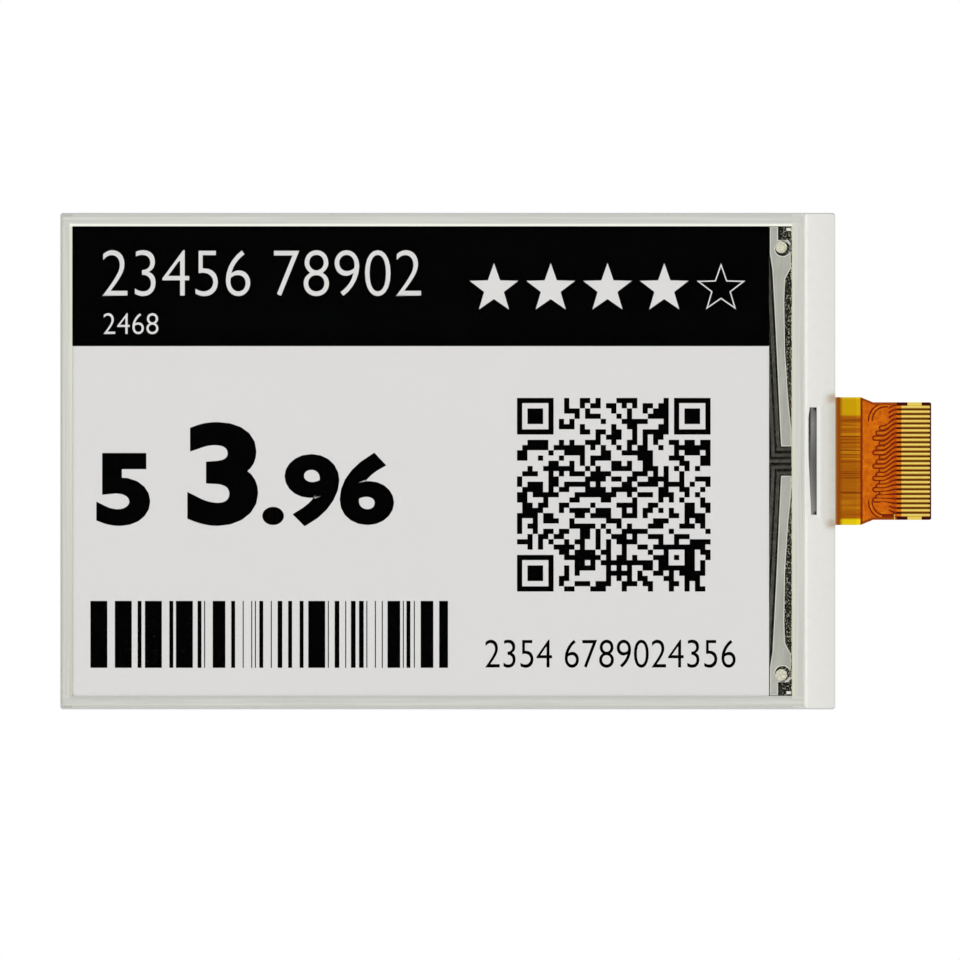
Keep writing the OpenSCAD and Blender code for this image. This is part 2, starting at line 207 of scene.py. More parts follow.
class Surface(Graph):
    """The node tree of one material, with the place on the piece in mm."""

    def __init__(self, name: str, rest_place: bool = False) -> None:
        """Starts an empty material.

        Args:
            name: The material's name.
            rest_place: Whether places are read from the piece's stored rest places.
        """
        self.material = bpy.data.materials.new(name)
        self.material.use_nodes = True
        super().__init__(self.material.node_tree)
        if rest_place:
            where = self.node("ShaderNodeAttribute", {"attribute_name": REST}, out="Vector")
        else:
            where = self.node("ShaderNodeTexCoord", out="Object")
        self.place = self.node(
            "ShaderNodeVectorMath", {"operation": "SCALE"}, {0: where, "Scale": 1 / MM}
        )
        self.x, self.z = (self.node("ShaderNodeSeparateXYZ", {}, {0: self.place}, out=axis)
                          for axis in "XZ")

    def noise(
        self,
        size: float,
        stretch: Sequence[float] = (1, 1, 1),
        detail: float = 2.0,
        seed: float = 0.0,
    ) -> Sock:
        """Soft noise over the surface.

        Args:
            size: The size of its spots in mm.
            stretch: How many times longer the spots are along each axis.
            detail: Its finer octaves.
            seed: Which noise of a family it is.

        Returns:
            A value around 0.5.
        """
        scale = [1 / (size * part) for part in stretch]
        at = self.node("ShaderNodeVectorMath", {"operation": "MULTIPLY"}, {0: self.place, 1: scale})
        return self.node(
            "ShaderNodeTexNoise", {"noise_dimensions": "4D"},
            {"Vector": at, "W": seed, "Scale": 1.0, "Detail": detail, "Roughness": 0.55},
        )

    def cells(self, size: float, feature: str = "F1", out: str = "Distance") -> Sock:
        """Voronoi cells of a size in mm.

        Args:
            size: The size of a cell.
            feature: What is measured, as the Voronoi node names it.
            out: The output that is wanted.

        Returns:
            That output.
        """
        return self.node(
            "ShaderNodeTexVoronoi", {"feature": feature},
            {"Vector": self.place, "Scale": 1 / size}, out=out,
        )

    def mix(self, low: "Sock | Colour", high: "Sock | Colour", mask: Sock) -> Sock:
        """Goes from the low colour to the high one where the mask is 1."""
        settings = {"data_type": "RGBA", "clamp_factor": True}
        return self.node("ShaderNodeMix", settings, {0: mask, 6: low, 7: high}, out=2)

    def coats(self, base: "Sock | Colour", *layers: "tuple[Sock | Colour, Sock]") -> Sock:
        """Lays colours over a base, each where its mask is 1.

        Args:
            base: The colour underneath.
            layers: Each colour with its mask, from the lowest up.

        Returns:
            The colour that shows.
        """
        for colour, mask in layers:
            base = self.mix(base, colour, mask)
        return base

    def ramp(self, value: Sock, stops: Stops) -> Sock:
        """Colours a value by stops of place and colour."""
        return self.node("ShaderNodeValToRGB", {"stops": stops}, {0: value})

    def facing(self) -> Sock:
        """How far the surface turns away from the eye, for gloss."""
        return self.node("ShaderNodeLayerWeight", {}, {"Blend": 0.5}, out="Facing")

    def bump(self, height: Sock, rise: float, strength: float = 1.0) -> Sock:
        """A bumped normal.

        Args:
            height: The height from 0 to 1.
            rise: What 1 stands for, in mm.
            strength: The share of it that is used.

        Returns:
            The normal.
        """
        return self.node(
            "ShaderNodeBump", {}, {"Height": height, "Distance": rise * MM, "Strength": strength}
        )

    def finish(self, **sockets: "Sock | float | Sequence[float]") -> bpy.types.Material:
        """Adds the Principled shader.

        Args:
            sockets: Its inputs, with _ in place of a space.

        Returns:
            The material.
        """
        named = {key.replace("_", " "): value for key, value in sockets.items()}
        shader = self.node("ShaderNodeBsdfPrincipled", {}, named)
        self.node("ShaderNodeOutputMaterial", {}, {"Surface": shader})
        return self.material


@dataclass(frozen=True)
class Finish:
    """A surface finish. Each kind paints a graph once, and every piece shares it."""

    name: str
    rest_place: bool = False

    def paint(self, graph: Surface) -> bpy.types.Material:
        """Writes the node tree. Each kind of finish has its own.

        Args:
            graph: The empty tree that it writes in.

        Returns:
            The material.
        """
        raise NotImplementedError

    def material(self) -> bpy.types.Material:
        """The finished material, made on first use.

        Returns:
            The material.
        """
        full_name = self.name + "_finish"
        known = bpy.data.materials.get(full_name)
        return known or self.paint(Surface(full_name, self.rest_place))


@dataclass(frozen=True)
class Mottled(Finish):
    """A surface whose colour wanders between two, with a fine grain."""

    low: Colour = (0.5, 0.5, 0.5, 1.0)
    high: Colour = (0.5, 0.5, 0.5, 1.0)
    spot: float = 1.0
    stretch: tuple[float, float, float] = (1.0, 1.0, 1.0)
    grain: float = 0.05
    rise: float = 0.002
    rough: float = 0.5
    metal: float = 0.0
    shine: float = 0.5
    clear: float = 1.0

    def paint(self, graph: Surface) -> bpy.types.Material:
        """Mixes the two colours by soft noise over a fine bump.

        Args:
            graph: The empty tree that it writes in.

        Returns:
            The material.
        """
        wander = graph.noise(self.spot, self.stretch, 3.0)
        fine = graph.noise(self.grain, detail=1.0, seed=4.0)
        return graph.finish(
            Base_Color=graph.mix(self.low, self.high, wander.over(0.5, 0.4)),
            Roughness=self.rough * 0.85 + self.rough * 0.3 * fine if self.rough else 0.0,
            Metallic=self.metal,
            Specular_IOR_Level=self.shine,
            Alpha=self.clear,
            Normal=graph.bump(fine, self.rise, 0.6),
        )


@dataclass(frozen=True)
class ClearFilm(Finish):
    """A clear film that only shows by its gloss at a slant."""

    tint: Colour = (0.9, 0.93, 0.95, 1.0)
    shine_straight: float = 0.003
    shine_slant: float = 0.25
    haze: float = 0.13

    def paint(self, graph: Surface) -> bpy.types.Material:
        """Lets everything through but the part that the film mirrors.

        Args:
            graph: The empty tree that it writes in.

        Returns:
            The material.
        """
        return graph.finish(
            Base_Color=self.tint,
            Metallic=1.0,
            Roughness=self.haze,
            Alpha=self.shine_straight + self.shine_slant * graph.facing() ** 4.0,
        )


@dataclass(frozen=True)
class PlateGlass(Finish):
    """Thin display glass, faintly grey-green, denser at its cut edges."""

    body: Colour = (0.2, 0.22, 0.2, 1.0)
    edge: Colour = (0.26, 0.34, 0.31, 1.0)
    chip: Colour = (0.62, 0.68, 0.66, 1.0)
    veil: float = 0.26
    edge_veil: float = 0.6

    def paint(self, graph: Surface) -> bpy.types.Material:
        """Sets the cut edges apart from the two faces by the surface's direction.

        Args:
            graph: The empty tree that it writes in.

        Returns:
            The material.
        """
        normal = graph.node("ShaderNodeNewGeometry", out="Normal")
        across = abs(graph.node("ShaderNodeSeparateXYZ", {}, {0: normal}, out="Y"))
        cut = across.under(0.5, 0.3)
        chips = graph.noise(0.12, detail=3.0).over(0.62, 0.1)
        return graph.finish(
            Base_Color=graph.coats(self.body, (self.edge, cut), (self.chip, cut * chips)),
            Roughness=0.06 + 0.4 * cut,
            IOR=1.52,
            Alpha=self.veil + self.edge_veil * cut,
        )


@dataclass(frozen=True)
class CapsuleLayer(Finish):
    """The ink's microcapsules, all turned to white or all to black."""

    tone: Colour = (0.74, 0.73, 0.72, 1.0)
    lift: Colour = (0.78, 0.77, 0.76, 1.0)
    capsule: float = 0.055
    matt: float = 0.8
    shine: float = 0.25

    def paint(self, graph: Surface) -> bpy.types.Material:
        """Packs cells the size of a capsule, each a shade of its own.

        Args:
            graph: The empty tree that it writes in.

        Returns:
            The material.
        """
        each = graph.cells(self.capsule, out="Color")
        cell = graph.node("ShaderNodeSeparateColor", {}, {0: each}, out="Red")
        wall = graph.cells(self.capsule, "DISTANCE_TO_EDGE").under(0.06, 0.08)
        drift = graph.noise(14.0, detail=1.0)
        return graph.finish(
            Base_Color=graph.coats(
                self.tone, (self.lift, cell * 0.6 + drift * 0.4), (self.tone, wall)),
            Roughness=self.matt,
            Specular_IOR_Level=self.shine,
            Normal=graph.bump(wall, 0.002, 0.3),
        )


@dataclass(frozen=True)
class ArrayFilm(Finish):
    """The transistor array: a dark film, ruled and flecked where the strip lies open to view."""

    dark: Colour = shade(9, 9, 7)
    line: Colour = shade(36, 34, 28)
    fleck: Colour = shade(164, 164, 142)
    pitch: float = 0.21
    strip: float = 34.2
    flecked: float = 35.55
    crossing: float = 1.9

    def paint(self, graph: Surface) -> bpy.types.Material:
        """Rules the strip along both axes and scatters flecks near the seal.

        Args:
            graph: The empty tree that it writes in.

        Returns:
            The material.
        """
        columns = graph.x.cycle(self.pitch).under(0.3, 0.2)
        rows = graph.z.cycle(self.pitch).under(0.24, 0.2)
        bare = graph.x.over(self.strip, 0.1)
        grid = columns.most(rows) * bare
        wander = graph.noise(0.35, (1, 1, 2.2), 3.0)
        cloud = wander.over(0.55, 0.25) * (bare * 0.4 + 0.1)
        spots = graph.noise(0.17, (1.0, 1.0, 1.3), 2.0, 3.0).over(0.575, 0.07)
        beside = graph.x.over(self.flecked, 0.5) * abs(graph.z).over(self.crossing, 0.3)
        low = graph.x.over(self.strip) * graph.noise(0.12, detail=2.0, seed=8.0).over(0.62, 0.1)
        return graph.finish(
            Base_Color=graph.coats(
                self.dark, (self.line, grid * 0.4 + cloud),
                (self.fleck, (spots * beside).most(low * 0.25))),
            Roughness=0.42,
            Specular_IOR_Level=0.1,
            Normal=graph.bump(grid, 0.004, 0.5),
        )


@dataclass(frozen=True)
class BusMetal(Finish):
    """Bare sputtered metal, light grey with a faint brushed drift."""

    low: Colour = shade(172, 173, 162)
    high: Colour = shade(192, 193, 183)
    pit: Colour = shade(154, 155, 144)

    def paint(self, graph: Surface) -> bpy.types.Material:
        """Drifts slowly along the strip, with a mottle of fine pits.

        Args:
            graph: The empty tree that it writes in.

        Returns:
            The material.
        """
        drift = graph.noise(1.2, (0.5, 1, 4.0), 3.0)
        pits = graph.noise(0.1, detail=2.0, seed=2.0)
        return graph.finish(
            Base_Color=graph.coats(
                self.low, (self.high, drift.over(0.5, 0.35)),
                (self.pit, pits.over(0.64, 0.14) * 0.6)),
            Roughness=0.38 + 0.2 * pits,
            Metallic=0.05,
            Normal=graph.bump(pits, 0.003, 0.5),
        )


@dataclass(frozen=True)
class SealBead(Finish):
    """The pale glue round the screen, streaked along each side, with a line beside the ink."""

    left: float = -39.94
    right: float = 36.65
    half: float = 24.98
    width: float = 1.2
    ledge: float = 37.82
    low: Colour = shade(205, 206, 198)
    high: Colour = shade(218, 219, 210)
    left_line_low: Colour = shade(204, 206, 186)
    left_line_high: Colour = shade(232, 234, 214)
    top_line: Colour = shade(250, 252, 240)
    foot_line: Colour = shade(199, 199, 193)
    right_line: Colour = shade(222, 219, 200)
    rim: Colour = shade(202, 203, 196)
    left_rim: Colour = shade(186, 188, 176)
    # Painted light: lightens the bead beside the ledge, against the shade of the ledge cover's
    # wall.
    painted_light_by_ledge: Colour = shade(238, 238, 232)

    def paint(self, graph: Surface) -> bpy.types.Material:
        """Works out how far a point lies from the screen and tints each side by it, and paints
        light on the bead beside the ledge.

        Args:
            graph: The empty tree that it writes in.

        Returns:
            The material.
        """
        beside = (self.left - graph.x).most(graph.x - self.right)
        away = beside.most(abs(graph.z) - self.half)
        top = graph.z.over(self.half - 0.05, 0.1)
        foot = graph.z.under(0.05 - self.half, 0.1)
        left = graph.x.under(self.left + 0.02, 0.04)
        right = graph.x.over(self.right + 0.01, 0.04)
        level = top.most(foot)
        upright = graph.noise(0.22, (1, 1, 60), 2.0)
        lying = graph.noise(0.22, (60, 1, 1), 2.0, 5.0)
        streak = upright * (1 - level) + lying * level
        left_line = graph.mix(self.left_line_low, self.left_line_high, graph.z.over(0.0, 52.0))
        band = graph.coats(
            self.low,
            (self.high, streak.over(0.5, 0.3)),
            (left_line, away.under(0.3, 0.16) * left),
            (self.top_line, away.under(0.26, 0.1) * top),
            (self.foot_line, away.under(0.3, 0.2) * foot),
            (self.right_line, away.under(0.28, 0.14) * right),
            (graph.mix(self.rim, self.left_rim, left),
             away.over(self.width - 0.18, 0.16) * (1 - right)),
            # Painted light beside the ledge.
            (self.painted_light_by_ledge, graph.x.over(self.ledge, 0.2)),
        )
        return graph.finish(
            Base_Color=band,
            Roughness=0.42 + 0.1 * streak,
            Specular_IOR_Level=0.35,
            Normal=graph.bump(streak, 0.01, 0.4),
        )


@dataclass(frozen=True)
class LedgeFilm(Finish):
    """White cover film over the ledge, with the shape of the flex showing faintly under it, and
    painted highlights and painted shade on it.
    """

    left: float = 37.96
    right: float = 41.21
    flex_left: float = 40.02
    flex_half: float = 6.8
    ridge: float = 39.47
    dip: float = 39.77
    chip_half: float = 5.9
    # Painted light: a highlight along the left edge, then painted shade that darkens across the
    # ledge towards its right edge.
    across: Stops = (
        (0.0, shade(245, 244, 240)), (0.05, shade(245, 244, 239)), (0.13, shade(232, 231, 225)),
        (0.6, shade(229, 228, 222)), (0.93, shade(227, 226, 222)), (1.0, shade(212, 212, 208)),
    )
    # Partly the flex's tint through the film, partly painted shade where the film is raised over
    # the flex.
    flex_tint_and_shade: Colour = shade(201, 198, 186)
    corner_tint_and_shade: Colour = shade(186, 166, 143)
    # Painted highlight along the ridge beside the slot, and painted shade in the dip next to it.
    ridge_highlight: Colour = shade(244, 243, 238)
    dip_shade: Colour = shade(216, 216, 209)
    cloud: Colour = shade(220, 219, 212)

    def paint(self, graph: Surface) -> bpy.types.Material:
        """Paints shade across the ledge with a highlight at its left edge, painted shade over the
        flex that warms at its corners, and a painted highlight on the ridge with painted shade in
        the dip beside it.

        Args:
            graph: The empty tree that it writes in.

        Returns:
            The material.
        """
        share = (graph.x - self.left) / (self.right - self.left)
        level = abs(graph.z)
        flex = graph.x.over(self.flex_left + 0.3, 1.3) * level.under(self.flex_half + 0.35, 1.1)
        side = (level - self.flex_half + 0.15) / 0.6
        corner = (side * side * -1.0 + 1.0).most(0.0) * graph.x.over(self.flex_left + 0.4, 0.7)
        tone = graph.coats(
            # Painted highlight and shade across the ledge.
            graph.ramp(share, self.across),
            # Painted shade with the flex's tint, over the flex and its corners.
            (self.flex_tint_and_shade, flex * 0.9),
            (self.corner_tint_and_shade, corner * 0.85),
            # Painted highlight on the ridge, painted shade in the dip.
            (self.ridge_highlight, graph.x.near(self.ridge, 0.13) * level.under(self.chip_half, 0.3)),
            (self.dip_shade, graph.x.near(self.dip, 0.16) * level.under(self.chip_half, 0.6) * 0.6),
            (self.cloud, graph.noise(0.9, detail=3.0).over(0.62, 0.3) * 0.35),
        )
        return graph.finish(
            Base_Color=tone,
            Roughness=0.55,
            Specular_IOR_Level=0.3,
            Normal=graph.bump(graph.noise(0.3, detail=2.0, seed=6.0), 0.006, 0.4),
        )


@dataclass(frozen=True)
class ChipSilicon(Finish):
    """The back of the driver chip: ground silicon with a soft gradient along its length, which is
    painted reflection, and painted shade at its sides and ends.
    """

    half: float = 5.7
    left: float = 38.41
    right: float = 39.21
    # Painted reflection: the die's top is lighter and darker along its length.
    along: Stops = (
        (0.0, shade(166, 165, 163)), (0.23, shade(134, 133, 131)), (0.37, shade(120, 119, 117)),
        (0.51, shade(114, 113, 110)), (0.66, shade(134, 133, 130)), (0.84, shade(154, 153, 150)),
        (0.97, shade(130, 129, 126)),
    )
    scratch: Colour = shade(76, 76, 75)
    # Painted shade on the right side, the painted shadow of the slot's left wall and painted shade
    # in the corners at the ends.
    right_side_shade: Colour = shade(84, 83, 81)
    foot_veil: Colour = shade(186, 185, 180)
    left_wall_shadow: Colour = shade(66, 66, 64)
    ends: Colour = shade(10, 10, 11)

    def paint(self, graph: Surface) -> bpy.types.Material:
        """Lays grinding lines across the die over the long gradient of painted reflection, then the
        painted shade and shadow.

        Args:
            graph: The empty tree that it writes in.

        Returns:
            The material.
        """
        along = (graph.z + self.half) / (2 * self.half)
        across = (graph.x - self.left) / (self.right - self.left)
        lines = graph.noise(0.05, (9.0, 1, 1), 2.0)
        # Painted shade in the corners at the chip's ends.
        ends = abs(graph.z).over(self.half - 0.32, 0.3) * across.over(0.66, 0.3)
        tone = graph.coats(
            graph.ramp(along, self.along),
            (self.scratch, lines.over(0.6, 0.3) * 0.2),
            # Painted shade and shadow follow.
            (self.right_side_shade, across.over(0.78, 0.7) * 0.75),
            (self.foot_veil, across.under(0.3, 0.55) * along.under(0.3, 0.6) * 0.7),
            (self.left_wall_shadow, across.under(0.24, 0.16) * along.over(0.62, 0.3)),
            (self.ends, ends),
        )
        return graph.finish(
            Base_Color=tone,
            Roughness=0.3 + 0.15 * lines,
            Metallic=0.2,
            Normal=graph.bump(lines, 0.002, 0.5),
        )


@dataclass(frozen=True)
class FlexFilm(Finish):
    """Polyimide of the flex: brown at the root, partly painted shade where it leaves the glass,
    golden over the bend, red-brown along the tail.
    """

    fillet: Colour = shade(196, 142, 84)
    # The root's brown is partly the adhesive squeezed out there and partly painted shade where the
    # flex slopes down from the glass edge.
    root: Colour = shade(156, 76, 0)
    golden: Colour = shade(178, 98, 0)
    streak: Colour = shade(212, 140, 6)
    line: Colour = shade(132, 54, 0)
    upper: Colour = shade(212, 166, 0)
    lower: Colour = shade(240, 208, 2)
    rim: Colour = shade(236, 212, 40)
    seam: Colour = shade(132, 22, 0)
    between: Colour = shade(108, 8, 0)
    border: Colour = shade(152, 68, 2)
    bare: Colour = shade(64, 8, 0)
    under_gold: Colour = shade(96, 50, 0)
    fillet_end: float = 41.37
    root_end: float = 41.86
    tail_start: float = 43.93
    cover_end: float = 47.76
    contact_start: float = 48.26
    contact_end: float = 51.16
    upper_from: float = 4.87
    lower_from: float = 6.15
    rim_from: float = 6.66
    border_from: float = 5.98
    contact_half: float = 5.95
    clear: float = 1.0

    def bend(self, graph: Surface) -> Sock:
        """The root and the golden length, streaked by the conductors behind it.

        Args:
            graph: The tree that it writes in.

        Returns:
            The colour.
        """
        wide = graph.noise(0.24, (80, 1, 1), 2.0)
        thin = graph.noise(0.13, (90, 1, 1), 1.0, 7.0)
        gold = graph.coats(
            self.golden,
            (self.streak, wide.over(0.58, 0.14)),
            (self.line, thin.under(0.41, 0.06) * 0.9),
            (self.upper, graph.z.over(self.upper_from, 0.15)),
            (self.lower, graph.z.under(-self.lower_from, 0.2)),
            (self.rim, abs(graph.z).over(self.rim_from, 0.2) * 0.8),
        )
        # Partly painted shade: the root's darker brown before the golden length.
        root = graph.mix(self.root, self.fillet, graph.x.under(self.fillet_end, 0.2))
        return graph.mix(root, gold, graph.x.over(self.root_end, 0.4))

    def tail(self, graph: Surface) -> Sock:
        """The tail between its conductors, under the cover film and bare.

        Args:
            graph: The tree that it writes in.

        Returns:
            The colour.
        """
        level = abs(graph.z)
        contacts = graph.x.over(self.contact_start, 0.1) * graph.x.under(self.contact_end, 0.06)
        return graph.coats(
            self.between,
            (self.border, level.over(self.border_from, 0.1)),
            (self.bare, graph.x.over(self.cover_end, 0.08)),
            (self.under_gold, contacts * level.under(self.contact_half, 0.05)),
        )

    def paint(self, graph: Surface) -> bpy.types.Material:
        """Steps from zone to zone along the flex, with a faint cloudiness in its gloss.

        Args:
            graph: The empty tree that it writes in.

        Returns:
            The material.
        """
        cloud = graph.noise(0.7, detail=3.0)
        return graph.finish(
            Base_Color=graph.coats(
                self.bend(graph),
                (self.tail(graph), graph.x.over(self.tail_start, 0.06)),
                (self.seam, graph.x.near(self.tail_start + 0.08, 0.14) * 1.4)),
            Roughness=0.3 + 0.1 * cloud,
            Specular_IOR_Level=0.08,
            Alpha=self.clear,
            Normal=graph.bump(graph.noise(0.25, detail=2.0, seed=3.0), 0.004, 0.4),
        )


@dataclass(frozen=True)
class CopperFoil(Finish):
    """Copper seen through the film, deeper along the tail and paler where the cover film ends."""

    low: Colour = shade(206, 96, 0)
    high: Colour = shade(236, 134, 8)
    pale: Colour = shade(212, 114, 14)
    deep: Colour = shade(188, 62, 0)
    deep_middle: float = 46.9
    cover_end: float = 47.76

    def paint(self, graph: Surface) -> bpy.types.Material:
        """Lets the film's orange wander over the copper.

        Args:
            graph: The empty tree that it writes in.

        Returns:
            The material.
        """
        wander = graph.noise(0.45, detail=3.0)
        grain = graph.noise(0.06, detail=1.0, seed=4.0)
        return graph.finish(
            Base_Color=graph.coats(
                self.low, (self.high, wander.over(0.52, 0.3)),
                (self.deep, graph.x.over(self.deep_middle, 1.2) * 0.6),
                (self.pale, graph.x.over(self.cover_end, 0.05))),
            Roughness=0.34 + 0.1 * grain,
            Specular_IOR_Level=0.08,
            Normal=graph.bump(grain, 0.002, 0.6),
        )


@dataclass(frozen=True)
class Plating(Finish):
    """Soft gold over nickel, bright along the crown of each contact."""

    pitch: float = 0.5
    width: float = 0.3
    below: float = 20.0
    last: float = 5.9
    across: Stops = (
        (0.0, shade(188, 132, 32)), (0.3, shade(238, 192, 78)), (0.52, shade(255, 240, 128)),
        (0.74, shade(244, 212, 100)), (1.0, shade(192, 140, 44)),
    )
    tab: Colour = shade(240, 214, 92)
    scuffed: Colour = shade(214, 170, 60)

    def paint(self, graph: Surface) -> bpy.types.Material:
        """Runs a highlight along each contact and scuffs it lengthwise.

        Args:
            graph: The empty tree that it writes in.

        Returns:
            The material.
        """
        place = (graph.z + self.below).cycle(self.pitch)
        share = (place - 0.5) * (self.pitch / self.width) + 0.5
        scuff = graph.noise(0.06, (14, 1, 1), 3.0)
        return graph.finish(
            Base_Color=graph.coats(
                graph.ramp(share, self.across), (self.tab, abs(graph.z).over(self.last, 0.02)),
                (self.scuffed, scuff.over(0.62, 0.2) * 0.3)),
            Roughness=0.3 + 0.15 * scuff,
            Specular_IOR_Level=0.3,
            Metallic=0.1,
            Normal=graph.bump(scuff, 0.001, 0.5),
        )


@dataclass(frozen=True)
class FloorPaint(Finish):
    """Matt pale paint for the studio's floor."""

    low: Colour = (0.72, 0.72, 0.71, 1.0)
    high: Colour = (0.8, 0.8, 0.79, 1.0)
    cloud: float = 60.0

    def paint(self, graph: Surface) -> bpy.types.Material:
        """Lets the two tones drift into each other.

        Args:
            graph: The empty tree that it writes in.

        Returns:
            The material.
        """
        tone = graph.mix(self.low, self.high, graph.noise(self.cloud))
        return graph.finish(Base_Color=tone, Roughness=0.7)


class Kit(Enum):
    """Every finish in the scene."""

    GLASS = PlateGlass("display_glass")
    ARRAY = ArrayFilm("transistor_array")
    BUS = BusMetal("bus_metal")
    # Painted highlight: a lighter band along the edges of the buses.
    BUS_EDGE_HIGHLIGHT = Mottled("bus_rim", low=shade(218, 219, 208), high=shade(238, 239, 228), spot=0.8,
                      rough=0.4, metal=0.2)
    MARK = Mottled("mark_metal", low=shade(232, 233, 222), high=shade(250, 250, 242), spot=0.2,
                   rough=0.4)
    TRACK = Mottled("track_metal", low=shade(80, 78, 68), high=shade(116, 114, 101), spot=0.4,
                    rough=0.45, metal=0.05)
    PASTE = Mottled("silver_paste", low=shade(172, 168, 142), high=shade(250, 247, 226), spot=0.2,
                    grain=0.08, rise=0.012, rough=0.5, metal=0.05)
    WHITE_INK = CapsuleLayer("white_capsules")
    BLACK_INK = CapsuleLayer("black_capsules", tone=(0.0004, 0.0004, 0.0005, 1.0),
                             lift=(0.0008, 0.0008, 0.0008, 1.0), matt=0.9, shine=0.02)
    SHEET = ClearFilm("protective_sheet", shine_slant=0.3)
    INNER_FILM = ClearFilm("inner_clear_film", shine_straight=0.001, shine_slant=0.02)
    ADHESIVE = ClearFilm("clear_adhesive", shine_straight=0.001, shine_slant=0.01)
    SEAL = SealBead("edge_seal")
    LEDGE = LedgeFilm("ledge_cover")
    CHIP = ChipSilicon("driver_chip")
    # Pale glue; on the seam bead it is also painted light over the seam's shadow.
    GLUE = Mottled("pale_glue", low=shade(220, 221, 208), high=shade(238, 239, 226), spot=0.3,
                   rough=0.4, shine=0.3)
    BOND = Mottled("bond_film", low=shade(92, 76, 50), high=shade(120, 100, 66), spot=0.3,
                   rough=0.6)
    FLEX_FILM = FlexFilm("flex_polyimide")
    BEND_FILM = FlexFilm("bend_polyimide", rest_place=True, clear=0.86)
    BEND_COPPER = Mottled("bend_copper", rest_place=True, low=shade(206, 130, 8),
                          high=shade(230, 160, 20), spot=0.3, stretch=(30, 1, 1), rough=0.35,
                          shine=0.2)
    BEND_COVER = Mottled("bend_back_cover", rest_place=True, low=shade(150, 80, 4),
                         high=shade(172, 98, 6), spot=0.6, rough=0.4, shine=0.2)
    COPPER = CopperFoil("tail_copper")
    BACK_COVER = Mottled("back_cover_film", low=shade(168, 84, 4), high=shade(190, 104, 8),
                         rough=0.4)
    FRONT_COVER = Mottled("front_cover_film", low=shade(190, 74, 2), high=shade(212, 96, 4),
                          spot=0.8, rough=0.3, shine=0.2, clear=0.09)
    HOLE = Mottled("hole_dimple", low=shade(138, 46, 0), high=shade(160, 62, 2), spot=0.1,
                   rough=0.4)
    GOLD = Plating("contact_gold")
    VIA_GOLD = Mottled("hole_plating", low=shade(214, 168, 50), high=shade(240, 205, 90), spot=0.1,
                       rough=0.3, metal=0.4)
    STIFFENER = Mottled("stiffener_board", low=shade(196, 150, 60), high=shade(216, 172, 80),
                        spot=0.8, grain=0.12, rise=0.006)
    FLOOR = FloorPaint("floor_paint")


NODE_FINISH: dict[str, Kit] = {
    "tft_glass": Kit.GLASS, "tft_array": Kit.ARRAY,
    "common_bus_upper": Kit.BUS, "common_bus_lower": Kit.BUS, "alignment_marks": Kit.MARK,
    "fan_out_tracks": Kit.TRACK, "ledge_tracks": Kit.TRACK, "glass_bond_pads": Kit.TRACK,
    "transfer_dots": Kit.PASTE,
    "ink_adhesive": Kit.ADHESIVE,
    "protective_sheet": Kit.SHEET,
    "edge_seal": Kit.SEAL, "ledge_cover": Kit.LEDGE, "driver_chip": Kit.CHIP,
    "driver_chip_bond": Kit.BOND, "flex_bond_film": Kit.BOND, "stiffener_adhesive": Kit.BOND,
    "flex_root_film": Kit.FLEX_FILM, "flex_root_conductors": Kit.COPPER,
    "flex_root_back_cover": Kit.BACK_COVER,
    "flex_tail_film": Kit.FLEX_FILM, "flex_tail_back_conductors": Kit.COPPER,
    "flex_tail_back_cover": Kit.BACK_COVER, "flex_vias": Kit.VIA_GOLD,
    "contact_fingers": Kit.GOLD, "flex_stiffener": Kit.STIFFENER,
}


class Level(Enum):
    """Heights in front of the back of the glass."""

    CAPSULES = 0.545
    IMAGE = 0.581
    IMAGE_TOP = 0.5825
    FIGURES_TOP = 0.584
    ELECTRODE = 0.585
    ADHESIVE = 0.685
    TAIL_COPPER = 0.61
    TAIL_FRONT = 0.63


def plate(
    name: str, flat: Mesh, back: float, front: float, finish: Kit, slot: str, body: str = "panel"
) -> bpy.types.Object:
    """Thickens flat faces into a closed solid that faces the viewer, and fixes it to a body.

    Args:
        name: The piece's name.
        flat: Flat faces in the X and Z plane in mm, which are used up.
        back: The height of its back.
        front: The height of its front.
        finish: What it is made of.
        slot: Not used.
        body: The body that it rides on.

    Returns:
        The piece.
    """
    bmesh.ops.remove_doubles(flat, verts=flat.verts, dist=SAME_MM)
    made = bmesh.new()
    levels = [
        {vert: made.verts.new((vert.co.x * MM, -height * MM, vert.co.z * MM))
         for vert in flat.verts}
        for height in (back, front)
    ]
    for face in flat.faces:
        for spots in levels:
            made.faces.new([spots[vert] for vert in face.verts])
    for edge in flat.edges:
        if edge.is_boundary:
            one, two = edge.verts
            low, high = levels
            made.faces.new((low[one], low[two], high[two], high[one]))
    bmesh.ops.recalc_face_normals(made, faces=made.faces)
    flat.free()
    return attach(piece(name, made, finish), body)


def piece(name: str, mesh: Mesh, finish: Kit) -> bpy.types.Object:
    """Turns a finished bmesh into an object of the scene.

    Args:
        name: The piece's name.
        mesh: Its mesh in metres, which is used up.
        finish: What it is made of.

    Returns:
        The piece.
    """
    data = bpy.data.meshes.new(name)
    mesh.to_mesh(data)
    mesh.free()
    data.materials.append(finish.value.material())
    made = bpy.data.objects.new(name, data)
    bpy.context.scene.collection.objects.link(made)
    log.info("%s: %d faces", name, len(data.polygons))
    return made


def attach(made: bpy.types.Object, body: str) -> bpy.types.Object:
    """Lets a piece ride on a body.

    Args:
        made: The piece.
        body: The body.

    Returns:
        The piece.
    """
    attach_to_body(made, body)
    return made


def flat_faces(polygons: Iterable[Sequence[Point]]) -> Mesh:
    """Lays polygons of X and Z in one flat mesh.

    Args:
        polygons: The corners of each, in mm.

    Returns:
        The mesh.
    """
    flat = bmesh.new()
    for corners in polygons:
        flat.faces.new([flat.verts.new((x, 0, z)) for x, z in corners])
    return flat


